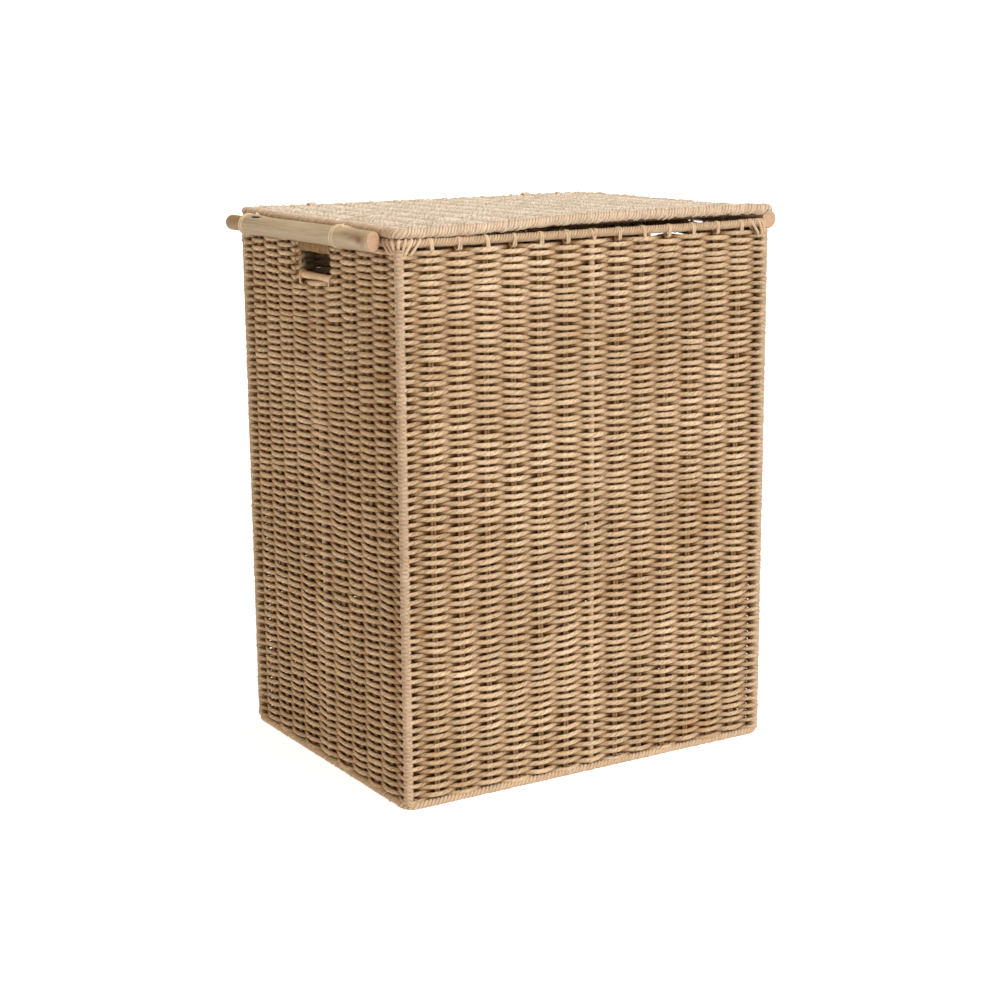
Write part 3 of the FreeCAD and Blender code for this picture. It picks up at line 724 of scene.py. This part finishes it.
def bamboo_material(name):
    """Weathered bamboo: lengthwise fibres, pale node rings, brown stains with painted shade on the underside,
    near-black painted shade in the slits and a pinkish cut face.
    """
    n = Nodes(name)
    long_fibre = n.noise(n.place((1, 0.035, 1)), 700.0, 3.0, 0.55)
    broad_fibre = n.noise(n.place((1, 0.03, 1)), 160.0, 2.0)
    cloud = n.noise(n.place((1, 0.5, 1)), 30.0, 3.0)
    level = n.plus(n.times(long_fibre, 0.4), n.times(broad_fibre, 0.35))
    level = n.plus(level, n.times(cloud, 0.25))
    base = n.ramp(level, [(0.28, (0.25, 0.182, 0.105)), (0.45, (0.40, 0.307, 0.195)),
                          (0.58, (0.48, 0.383, 0.255)), (0.75, (0.61, 0.50, 0.36))])
    base = n.mix(n.attribute("ring"), base, (0.74, 0.58, 0.36))
    speckle = n.noise(n.place((1, 0.2, 1)), 260.0, 4.0, 0.65)
    # stains, and painted shade on the pole's lower side, darken the colour
    stain_and_shade = n.times(n.attribute("stain_and_shade"), n.plus(0.45, speckle), clamp=True)
    base = n.mix(stain_and_shade, base, (0.22, 0.11, 0.035))
    pith = n.ramp(n.noise(n.place(), 900.0, 3.0, 0.7),
                  [(0.35, (0.36, 0.21, 0.12)), (0.5, (0.50, 0.32, 0.20)), (0.7, (0.60, 0.42, 0.29))])
    base = n.mix(n.attribute("face"), base, pith)
    # painted shade: the slits are painted near black
    base = n.mix(n.attribute("painted_slit_shade"), base, (0.03, 0.015, 0.006))
    normal = n.bump(long_fibre, 0.10 * MM, 0.7)
    normal = n.bump(cloud, 0.6 * MM, 0.3, normal)
    return n.finish(base, n.plus(0.42, n.times(cloud, 0.25)), normal)


def plain_material(name, colour, roughness, grain_scale, stretch, relief, contrast=0.3):
    """Wood or painted wire with fine grain."""
    n = Nodes(name)
    grain = n.noise(n.place(stretch), grain_scale, 4.0, 0.6)
    dim, bright = scaled(colour, 1 - contrast), scaled(colour, 1 + contrast)
    base = n.ramp(grain, [(0.3, dim), (0.55, colour), (0.8, bright)])
    return n.finish(base, roughness, n.bump(grain, relief * MM, 0.6))


ROPE_COLOUR = (0.715, 0.525, 0.335)
LID_COLOUR = (0.85, 0.745, 0.605)
wall_rope = rope_material("wall_rope", ROPE_COLOUR, painted_shade_colour=(0.080, 0.018, 0.0004), pitch=8.5, relief=0.6,
                          groove_shade_strength=0.45, creases=0.75)
lid_rope = rope_material("lid_rope", LID_COLOUR, pitch=5.5, painted_shade_strength=0.9, relief=0.8, groove_shade_strength=0.4,
                         flecks=1.0, creases=0.4)
lid_wrap = rope_material("lid_wrap", (0.63, 0.49, 0.352), relief=0.3, painted_shade_strength=0.9, contrast=0.8,
                         groove_shade_strength=0.3, flecks=0.6)
rim_wrap = rope_material("rim_wrap", (0.53, 0.378, 0.242), relief=0.3, painted_shade_strength=1.1, groove_shade_strength=0.4)
post_wrap = rope_material("post_wrap", (0.50, 0.368, 0.248), relief=0.4, painted_shade_strength=0.7, groove_shade_strength=0.5)
bar_wrap = rope_material("bar_wrap", (0.72, 0.52, 0.33), relief=0.3, painted_shade_strength=0.7, groove_shade_strength=0.3)
# the top bar's rope has an olive tint, and it is painted much darker than the lower bar's as painted shade
# for the pole's shadow over it
olive_wrap_painted_shade = rope_material("olive_wrap_painted_shade", (0.30, 0.19, 0.09), relief=0.5, painted_shade_strength=1.2, groove_shade_strength=0.8)
border_rope = rope_material("border_rope", (0.57, 0.415, 0.27), relief=0.3, painted_shade_strength=0.9, groove_shade_strength=0.3)
binding_rope = rope_material("binding_rope", (0.61, 0.45, 0.295), pitch=1.9, relief=0.15, groove_shade_strength=0.3)
floor_rope = rope_material("floor_rope", ROPE_COLOUR)
stake_z = cord_material("stake_z", (0.46, 0.28, 0.13), "Z")
stake_y = cord_material("stake_y", (0.50, 0.33, 0.18), "Y")
loop_cord = cord_material("loop_cord", (0.74, 0.56, 0.37), "X", 0.6)
hinge_cord = cord_material("hinge_cord", (0.86, 0.74, 0.58), "X", 0.5)
bamboo = bamboo_material("bamboo_pole")
RATTAN_COLOUR = (0.52, 0.37, 0.22)
rattan = plain_material("rattan", RATTAN_COLOUR, 0.6, 500.0, stretch=(1, 1, 0.05), relief=0.1)
rod_wood = plain_material("rod_wood", RATTAN_COLOUR, 0.6, 500.0, stretch=(1, 0.05, 1), relief=0.1)
wire = plain_material("wire", (0.075, 0.045, 0.025), 0.85, 600.0, stretch=(1, 1, 1), relief=0.05,
                      contrast=0.35)


# ---- build the walls

for wall in WALLS:
    with_hole = wall.name in ("left", "right")
    middle = ROWS // 2
    for part, rows in (("lower", range(0, middle)), ("upper", range(middle, ROWS))):
        pile = Pile()
        for sign, parity in ((1, 0), (-1, 1)):
            mine = [r for r in rows if r % 2 == parity]
            whole = [r for r in mine if not (with_hole and ROW_HEIGHTS[r] > HOLE_LOW)]
            split = [r for r in mine if r not in whole]
            weave_rows(pile, wall, whole, sign)
            if split:
                weave_rows(pile, wall, split, sign, gap=True)
        if with_hole and part == "upper":
            cut = [r for r in rows if ROW_HEIGHTS[r] > HOLE_LOW]
            hole_turns(pile, wall, [r for r in cut[:-1] if r % 2 == 0])
        pile.build(f"{wall.name}_weave_{part}", "basket", "rope_weave", wall_rope,
                   [f"{wall.name}_wall_weave"])

# corner posts wound with cord, each with a plain core a little nearer the basket's middle, whose colour is
# darkened with painted shade
POST_OUT, CORE_IN = 2.0, 2.5
for side_y, label_y in ((-1, "front"), (1, "back")):
    for side_x, label_x in ((-1, "left"), (1, "right")):
        pile = Pile()
        spot = np.array([side_x * (POST_X + POST_OUT), side_y * (POST_Y + POST_OUT), 0.0])
        foot, head = spot + UP * (WALL_BASE - 2), spot + UP * (POST_TOP - 1)
        inward = np.array([side_x * CORE_IN, side_y * CORE_IN, 0.0])
        wound(pile, straight(foot, head, 60), (1, 0, 0), radius=4.9, ridge=0.8, pitch=4.3, steps=6,
              sides=16, closed=False, uneven=0.3)
        tube(pile, straight(foot - inward, head - inward, 12), (1, 0, 0), radius=4.6, sides=12, tone=-0.2,
             shade=0.75)
        node = f"{label_y}_{label_x}_corner_post"
        pile.build(f"{label_y}_{label_x}_wound_post", "basket", "rattan_core", post_wrap, [node])


def rim_lift(points):
    """The rim rises a little at the front right corner."""
    moved = points.copy()
    moved[:, 2] += 1.5 * smooth(points[:, 0], 170, RIM_X) * smooth(-points[:, 1], 120, RIM_Y)
    return moved


pile = Pile()
wound(pile, rounded_loop(RIM_X, RIM_Y, RING_CORNER, RIM_Z), UP, radius=RIM_R + 0.15, ridge=0.8, pitch=3.3,
      starts=4, sides=14)
pile.build("rim_wrap", "basket", "rim_rope", rim_wrap, ["rim_wrapping"], move=rim_lift)

# the foot border: an outer rope, and a thicker one inside it that closes the gap under the first row
BORDER_PITCH = 4.6
OUTER_IN, INNER_IN = 4, 10.6
pile = Pile()
wound(pile, rounded_loop(border_high[0] - OUTER_IN, border_high[1] - OUTER_IN, RING_CORNER, BORDER_R + 0.2),
      UP, radius=BORDER_R + 0.2, ridge=1.3, pitch=BORDER_PITCH, starts=3, steps=6, sides=14)
wound(pile, rounded_loop(border_high[0] - INNER_IN, border_high[1] - INNER_IN, RING_CORNER, BORDER_R + 1.7),
      UP, radius=BORDER_R + 1.0, ridge=0.9, pitch=BORDER_PITCH, starts=3, steps=5, sides=10)


def above_floor(points):
    return np.maximum(points, (-np.inf, -np.inf, 0.05))


pile.build("foot_border", "basket", "rope_weave", border_rope, ["base_border"], move=above_floor)


# ---- rim bindings, lashings

def stadium(middle, outward, along, low, high, reach, lean=0.0):
    """A closed loop round the rim and the top row, leaning a little along the rim."""
    angles = np.linspace(0, math.pi, 9)
    top = [(reach * math.cos(a), high + reach * math.sin(a)) for a in angles]
    bottom = [(-reach * math.cos(a), low - reach * 0.6 * math.sin(a)) for a in angles]
    points = []
    for across, height in top + bottom:
        share = (height - low) / (high - low)
        points.append(middle + outward * across + along * lean * (share - 0.5) + UP * height)
    return np.array(points)


pile = Pile()
for wall in WALLS:
    rim_line = RIM_Y if wall.name in ("front", "back") else RIM_X
    for stake in wall.stakes:
        if wall.name in ("left", "right") and abs(stake) < SIDE_FIRST:
            continue
        for way in (-1, 1):
            spot = stake + way * rng.uniform(0.8, 1.3)
            middle = wall.along * spot + wall.outward * (rim_line + 0.2)
            lean = rng.normal(0, 0.8)
            loop = stadium(middle, wall.outward, wall.along, WALL_TOP + 2.0, RIM_Z, RIM_R - 0.3, lean)
            thick = rng.uniform(1.15, 1.45)
            tube(pile, loop, wall.along, thick, sides=7, closed=True, tone=rng.normal(0.1, 0.35))
pile.build("rim_ties", "basket", "binding_cord", binding_rope, ["rim_bindings"])

# lashings fan round each corner, the first and last a little way along its straight sides
LASHING_DEGREES = (-8, 10, 27, 45, 63, 80, 98)
SLIDE = 5.0
FAN = 0.14
pile = Pile()
for side_x in (-1, 1):
    for side_y in (-1, 1):
        centre = np.array([side_x * (RIM_X - RING_CORNER), side_y * (RIM_Y - RING_CORNER), 0.0])
        to_x, to_y = np.array([side_x, 0.0, 0.0]), np.array([0.0, side_y, 0.0])
        for degrees in LASHING_DEGREES:
            angle = math.radians(np.clip(degrees, 0, 90))
            out = to_x * math.sin(angle) + to_y * math.cos(angle)
            slide = to_x * (degrees < 0) + to_y * (degrees > 90)
            spot = centre + out * RING_CORNER - slide * SLIDE
            turn = np.cross(UP, out)
            low = WALL_TOP + rng.uniform(-1.0, 1.0)
            lean = -FAN * (degrees - 45) * side_x * side_y + rng.normal(0, 1.0)
            loop = stadium(spot, out, turn, low, RIM_Z, RIM_R - 0.2, lean)
            thick = rng.uniform(1.5, 1.85)
            tube(pile, loop, turn, thick, sides=8, closed=True, tone=rng.normal(0.1, 0.3))
pile.build("corner_ties", "basket", "binding_cord", binding_rope, ["corner_lashings"])


# ---- hand holes

BAND_R = 4.6
for wall in WALLS[1::2]:
    plane = wall.outward * wall.half_across
    bar_z = bar_middle[2]
    half = SIDE_FIRST - 4.0

    def across_hole(half_length, height):
        """A level line across the hand hole."""
        level = plane + UP * height
        return straight(level - wall.along * half_length, level + wall.along * half_length, 40)

    pile = Pile()
    wound(pile, across_hole(half, bar_z), UP, radius=4.0, ridge=0.7, pitch=2.8, starts=2, sides=12,
          closed=False)
    for sign in (-1, 1):
        middle = plane + wall.along * sign * (half - 3.5)
        loop = stadium(middle, wall.outward, wall.along, low=bar_z - 7.5, high=bar_z, reach=4.5,
                       lean=sign * 0.8)
        tube(pile, loop, wall.along, 1.05, sides=8, closed=True, tone=0.4)
    pile.build(f"{wall.name}_hole_lower_wrap", "basket", "wrapped_bar", bar_wrap,
               [f"{wall.name}_hand_hole_lower_bar"])

    centre_z = (TOP_BAR_LOW + RIM_Z + RIM_R) / 2
    half_height = (RIM_Z + RIM_R - TOP_BAR_LOW) / 2 + 0.5

    def band(angle, reach, out_at, up_at):
        """A tall flat section that goes round both the bar and the rim."""
        flat = np.sign(np.sin(angle)) * np.abs(np.sin(angle)) ** 0.75
        wide = np.cos(angle) * 0.98
        lean = (1 + np.sin(angle)) * 0.5 * (RIM_X - STAKE_X)
        across = wide[None] * reach + lean[None]
        above = flat[None] * (half_height + reach - BAND_R)
        return across[..., None] * out_at + above[..., None] * up_at

    pile = Pile()
    wound(pile, across_hole(half - 1.5, centre_z), UP, radius=BAND_R, ridge=1.2, pitch=3.4, sides=16,
          closed=False, section=band, uneven=0.3)
    pile.build(f"{wall.name}_hole_top_wrap", "basket", "wrapped_bar", olive_wrap_painted_shade,
               [f"{wall.name}_hand_hole_top_bar"])


# ---- floor and lid panels

def panel_rows(pile, half_x, low_y, high_y, middle_z, depth, radius, pitch, segments, sides, notch=None):
    """Rows along X, over and under the stakes of a flat panel.

    notch is where the rows are cut away for two ties: from which y, at which x on both sides, and how wide.
    """
    count = int(round((high_y - low_y) / pitch))
    rows_y = np.linspace(low_y + radius * 0.8, high_y - radius * 0.8, count)
    marks = np.array([-half_x] + FRONT_STAKES + [half_x])
    steps = np.linspace(0, len(marks) - 1, (len(marks) - 1) * segments + 1)
    places = np.interp(steps, np.arange(len(marks)), marks)
    swing = np.cos(math.pi * steps)
    over = np.abs(swing)
    knots = np.arange(len(marks))
    skin = depth + radius
    for row, y in enumerate(rows_y):
        sign = 1 if row % 2 else -1
        keep_runs = [np.ones(len(places), bool)]
        if notch and y > notch[0]:
            inner, outer = notch[1] - notch[2], notch[1] + notch[2]
            keep_runs = [places < -outer, (places > -inner) & (places < inner), places > outer]
        lift = np.interp(steps, knots, rng.normal(0, 0.28, len(marks)))
        fat = 1 + np.interp(steps, knots, rng.normal(0, 0.05, len(marks)))
        hue = np.interp(steps, knots, rng.normal(0, 0.35, len(marks))) + rng.normal(0, 0.2)
        points = np.stack([places, np.full(len(places), y), np.full(len(places), middle_z)], axis=-1)
        points[:, 1] += lift + 0.7 * near_wave(points)
        points[:, 2] += sign * swing * depth + rng.normal(0, 0.1)
        out = np.broadcast_to(UP, points.shape)
        up = np.broadcast_to((0.0, 1.0, 0.0), points.shape)
        reach_up = radius * (0.84 + 0.22 * over ** 0.8) * fat
        reach_out = radius * 0.94 * fat
        for keep in keep_runs:
            if keep.sum() < 3:
                continue
            verts, rope = sweep(points[None, keep], out[None, keep], up[None, keep], reach_out[None, keep],
                                reach_up[None, keep], sides, 0.06)
            rope[..., 2] += rng.uniform(0, 50)
            facing = rope[..., 0]
            surface = (sign * swing * depth)[keep][None, :, None] + facing * radius
            # the shade attribute is painted shade, from how deep the surface lies in the panel
            pile.add(verts, rope, hue[keep][None, :, None], painted_depth_shade(facing, surface, skin, skin * 1.6))


pile = Pile()
panel_rows(pile, floor_high[0] + 1.5, floor_low[1], floor_high[1], floor_middle[2], depth=3.0,
           radius=2.2, pitch=4.3, segments=6, sides=8)
pile.build("woven_floor", "basket", "rope_weave", floor_rope, ["floor_weave"])


def lid_lift(points):
    """The lid is a little warped: its front right part stands off the rim, and its corner reaches out."""
    x, y = points[:, 0], points[:, 1]
    drop = 0.75 - 0.55 * smooth(-y, 115, 170)
    rise = 5.4 * smooth(x, -190, 10) * (1 - drop * smooth(x, 190, 232)) - 1.0
    forward = np.clip((LID_Y - y) / (2 * LID_Y), 0, 1.1)
    inside = np.clip((200 - np.abs(x)) / 60, 0, 1) * np.clip((160 - np.abs(y)) / 40, 0, 1)
    corner = smooth(x, 150, LID_X) * smooth(-y, 138, LID_Y)
    moved = points.copy()
    moved[:, 0] += 4.5 * corner
    moved[:, 1] -= 4.0 * corner
    moved[:, 2] += rise * forward ** 1.3 + 0.5 * np.sin(x / 70.0) * np.sin(y / 55.0) * inside
    moved[:, 2] += 1.1 * smooth(-x, 130, 225) * smooth(y, 40, 170)
    return moved


pile = Pile()
panel_rows(pile, panel_high[0] + 0.5, panel_low[1] - 0.5, panel_high[1] + 0.5, LID_Z + 0.6, depth=2.3,
           radius=2.4, pitch=4.15, segments=7, sides=9, notch=(LID_Y - 11.0, HINGE_X, 6.4))
pile.build("lid_panel", "lid", "lid_rope", lid_rope, ["lid_weave"], move=lid_lift)

pile = Pile()
wound(pile, rounded_loop(LID_X, LID_Y, LID_CORNER, LID_Z), UP, radius=LID_R + 0.6, ridge=1.2, pitch=3.5,
      starts=4, sides=14, uneven=0.45)
pile.build("lid_edge_wrap", "lid", "lid_edge_rope", lid_wrap, ["lid_edge_wrapping"], move=lid_lift)


# ---- bamboo poles

# the two nodes, measured from the back end
BACK_NODE, FRONT_NODE = 50, 266
POLE_SIDES = 48


def bamboo_pole(name, scars):
    """A bamboo pole along Y: double-ringed nodes, a slimmer rounded back end and a sawn front face.

    Angle 0 points outward from the basket, and a quarter turn is up. Each swell, slit and stain has its
    place along Y and round the pole, its size or strength, its length and its width.
    """
    low, high, middle = cad(name.replace("_pole", "_bamboo_pole"))
    centre_x, centre_z = middle[0], middle[2] + 0.2
    start, end = low[1], high[1] - 2
    radius = scars["radius"]
    back_node, front_node = end - BACK_NODE, end - FRONT_NODE
    places = np.unique(np.concatenate([
        np.linspace(start, start + 4, 5), np.arange(start + 4, end - 12, 3.0),
        np.arange(front_node - 9, front_node + 9, 0.7), np.arange(back_node - 9, back_node + 9, 0.7),
        end - 12 + 12 * np.sin(np.linspace(0, math.pi / 2, 9)),
    ]))
    angle = np.arange(POLE_SIDES) * 2 * math.pi / POLE_SIDES
    y, a = np.meshgrid(places, angle, indexing="ij")
    reach = radius + 0.25 * np.sin((y - start) / 47.0) + 0.5 * smooth(y, front_node, back_node)
    reach -= 2.6 * smooth(y, back_node + 3, back_node + 9)
    ring = np.zeros_like(y)
    # two raised rings with a groove between them at each node
    for node in (front_node, back_node):
        tilt = node + 0.9 * np.cos(a + 0.6)
        for shift, height in ((-2.6, 0.75), (2.6, 0.95)):
            hump = np.exp(-((y - tilt - shift) / 1.15) ** 2)
            reach += height * hump
            ring = np.maximum(ring, hump)
        reach -= 0.35 * np.exp(-((y - tilt) / 1.3) ** 2)
        reach += 0.5 * np.exp(-((y - node) / 9.0) ** 2)
    reach -= 0.6 * (1 - smooth(y, start, start + 0.9))
    # the back end is rounded off, and no pole is quite round
    tail = np.clip((y - (end - 9)) / 9, 0, 1)
    reach *= np.sqrt(np.maximum(1 - 0.88 * tail ** 2.6, 0.02))
    reach *= 1 + 0.012 * np.cos(2 * a + y / 60) + 0.006 * np.cos(3 * a - y / 35)
    # darker towards the back end, plus painted shade on the lower side of the pole
    stain_and_shade = np.maximum(0.72 * smooth(y, back_node + 3, back_node + 9), 0.42 * smooth(-np.sin(a), -0.1, 0.8))
    painted_slit_shade = np.zeros_like(y)
    for place_y, place_a, height, long_y, wide_a in scars["swell"]:
        spot = np.exp(-((y - place_y) / long_y) ** 2 - ((a - place_a) / wide_a) ** 2)
        reach += height * spot
        ring = np.maximum(ring, spot * 0.8)
    # slits are dents, and their colour is painted near black as painted shade
    for place_y, place_a, depth, long_y, wide_a in scars["slit"]:
        spot = np.exp(-np.abs((y - place_y) / long_y) ** 3 - ((a - place_a) / wide_a) ** 2)
        reach -= depth * spot
        painted_slit_shade = np.maximum(painted_slit_shade, np.clip(spot * 2.2, 0, 1))
    for place_y, place_a, amount, long_y, wide_a in scars["stain_and_shade"]:
        gap = np.abs((a - place_a + math.pi) % (2 * math.pi) - math.pi)
        stain_and_shade = np.maximum(stain_and_shade, amount * np.exp(-((y - place_y) / long_y) ** 2 - (gap / wide_a) ** 2))
    bend_x = 0.5 * np.sin((y - start) / 140.0)
    bend_z = 0.5 * np.sin((y - start) / 110.0 + 1)
    outward = 1 if centre_x > 0 else -1
    # the front end is sawn at a slant
    near_cut = 1 - smooth(y, start, start + 30)
    cut_y = y - near_cut * (scars["cut"] * 0.7 + scars["cut"] * np.cos(a) * np.minimum(1, reach / radius))
    verts = np.stack([
        centre_x + outward * (reach * np.cos(a)) + bend_x, cut_y, centre_z + reach * np.sin(a) + bend_z,
    ], axis=-1)
    face = 0.75 * (1 - smooth(y, start + 3.5, start + 7.5))
    # rings inside the first one make the sawn face
    middle = verts[0].mean(0)
    inner = [middle + (verts[0] - middle) * share for share in (0.12, 0.4, 0.72, 0.93)]
    verts = np.concatenate([np.array(inner), verts])

    def padded(values, fill):
        return np.concatenate([np.full((len(inner), POLE_SIDES), fill), values])

    face = padded(face, 1.0)
    ring, stain_and_shade, painted_slit_shade = padded(ring, 0.0), padded(stain_and_shade, 0.0), padded(painted_slit_shade, 0.0)
    rings = len(verts)
    index = np.arange(rings * POLE_SIDES).reshape(rings, POLE_SIDES)
    ahead, turn = index[1:], np.roll(index, -1, axis=1)
    quads = np.stack([index[:-1], turn[:-1], turn[1:], ahead], axis=-1).reshape(-1, 4)
    faces = list(quads) + [index[0][::-1], index[-1]]
    mesh = bpy.data.meshes.new(name)
    mesh.from_pydata((verts.reshape(-1, 3) * MM).tolist(), [], [face[::outward].tolist() for face in faces])
    smooth_faces(mesh)
    for label, values in (("ring", ring), ("stain_and_shade", stain_and_shade), ("face", face), ("painted_slit_shade", painted_slit_shade)):
        add_attribute(mesh, label, values.reshape(-1))
    mesh.materials.append(bamboo)
    mesh.update()
    return mesh


TOP = math.pi / 2
LEFT_SCARS = {
    "radius": 10.2, "cut": 5.5,
    "swell": [(-100.0, TOP - 0.1, 2.3, 15.0, 0.6), (103.0, TOP, 0.9, 16.0, 0.5)],
    "slit": [(104.0, TOP - 0.3, 3.4, 10.0, 0.2)],
    "stain_and_shade": [(-141.0, 0.15, 1.2, 5.5, 0.42), (-134.0, 0.35, 0.7, 12.0, 0.45), (-118.0, 0.55, 0.5, 16.0, 0.3),
              (-146.0, -0.2, 0.6, 5.0, 0.8)],
}
RIGHT_SCARS = {
    "radius": 9.6, "cut": 0.0,
    "swell": [(-112.0, TOP, 1.4, 11.0, 0.5), (96.0, TOP, 1.0, 14.0, 0.5)],
    "slit": [(60.0, TOP + 0.3, 1.6, 6.0, 0.12)],
    "stain_and_shade": [(-20.0, 1.0, 0.5, 22.0, 0.6), (120.0, 0.4, 0.5, 10.0, 0.6)],
}
for name, scars in (("left", LEFT_SCARS), ("right", RIGHT_SCARS)):
    mesh = bamboo_pole(f"{name}_pole", scars)
    place(f"{name}_pole", mesh, "basket", "bamboo", [f"{name}_bamboo_pole"])


# ---- CAD pieces that stay

FINISHES = {
    "stakes": stake_z, "centre_upright": rattan, "floor_stakes": stake_y, "lid_stakes": stake_y,
    "floor_rods": rod_wood, "lid_rods": rod_wood, "bottom_ring": wire, "middle_ring": wire,
    "top_ring": wire, "lid_ring": wire, "pole_tie": loop_cord, "hinge_tie": hinge_cord,
}
for node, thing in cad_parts.items():
    if thing.hide_render:
        continue
    matches = [key for key in FINISHES if node.endswith(key)]
    finish = FINISHES[max(matches, key=len)]
    smooth_faces(thing.data)
    thing.data.materials.clear()
    thing.data.materials.append(finish)


# ---- studio

FLOOR_REACH = 60.0


def studio_floor():
    mesh = bpy.data.meshes.new("studio_floor")
    corners = [(x * FLOOR_REACH, y * FLOOR_REACH, 0) for x, y in ((-1, -1), (1, -1), (1, 1), (-1, 1))]
    mesh.from_pydata(corners, [], [(0, 1, 2, 3)])
    n = Nodes("studio_paper")
    grain = n.noise(n.place(), 3.0, 2.0)
    n.shader.inputs["Emission Strength"].default_value = 0.85
    n.shader.inputs["Emission Color"].default_value = (1, 1, 1, 1)
    paper = n.finish(n.ramp(grain, [(0.0, (0.34, 0.34, 0.34)), (1.0, (0.36, 0.36, 0.36))]), 0.9)
    mesh.materials.append(paper)
    floor = show("studio_floor", mesh)


def soft_sun(name, direction, width, strength, colour):
    """A distant soft light: direction points from the object to the light, width is in degrees."""
    lamp = bpy.data.lights.new(name, "SUN")
    lamp.angle = math.radians(width)
    lamp.energy = strength
    lamp.color = colour
    show(name, lamp).rotation_euler = Vector(direction).to_track_quat("Z", "Y").to_euler()


def studio_world():
    """A white horizon that the camera sees, and a dimmer sky above it."""
    world = bpy.data.worlds.new("studio_world")
    world.use_nodes = True
    tree = world.node_tree
    tree.nodes.clear()
    coords = tree.nodes.new("ShaderNodeTexCoord")
    split = tree.nodes.new("ShaderNodeSeparateXYZ")
    ramp = tree.nodes.new("ShaderNodeValToRGB")
    background = tree.nodes.new("ShaderNodeBackground")
    output = tree.nodes.new("ShaderNodeOutputWorld")
    tree.links.new(coords.outputs["Generated"], split.inputs[0])
    tree.links.new(split.outputs["Z"], ramp.inputs["Fac"])
    elements = ramp.color_ramp.elements
    elements[0].position, elements[0].color = 0.05, (1.05, 1.05, 1.05, 1)
    elements[1].position, elements[1].color = 0.30, (0.50, 0.43, 0.33, 1)
    tree.links.new(ramp.outputs["Color"], background.inputs["Color"])
    background.inputs["Strength"].default_value = 1.0
    tree.links.new(background.outputs[0], output.inputs["Surface"])
    bpy.context.scene.world = world


studio_floor()
studio_world()
soft_sun("key", (0.45, -1.0, 0.95), width=28.0, strength=2.75, colour=(0.99, 1.0, 1.05))
soft_sun("top", (0.1, 0.15, 1.0), width=50.0, strength=0.55, colour=(1.0, 1.0, 1.0))
soft_sun("fill", (-1.0, -0.15, 0.35), width=60.0, strength=0.24, colour=(1.0, 0.6, 0.22))

camera_data = bpy.data.cameras.new("camera")
camera = show("camera", camera_data)
AZIMUTH, ELEVATION, ROLL = math.radians(-31.73), math.radians(12.35), math.radians(-0.45)
DISTANCE = 2.245
TARGET = Vector((-0.0032, 0.0020, 0.2684))
back = Vector((
    math.sin(AZIMUTH) * math.cos(ELEVATION), -math.cos(AZIMUTH) * math.cos(ELEVATION), math.sin(ELEVATION),
))
camera.location = TARGET + back * DISTANCE
camera.rotation_euler = back.to_track_quat("Z", "Y").to_euler()
camera.rotation_euler.rotate_axis("Z", ROLL)
camera_data.sensor_width = 36.0
camera_data.lens = 71.15
camera_data.clip_end = 200.0
bpy.context.scene.camera = camera

view = bpy.context.scene.view_settings
view.view_transform = "Standard"
view.look = "None"
view.exposure = 0.0
view.gamma = 1.0
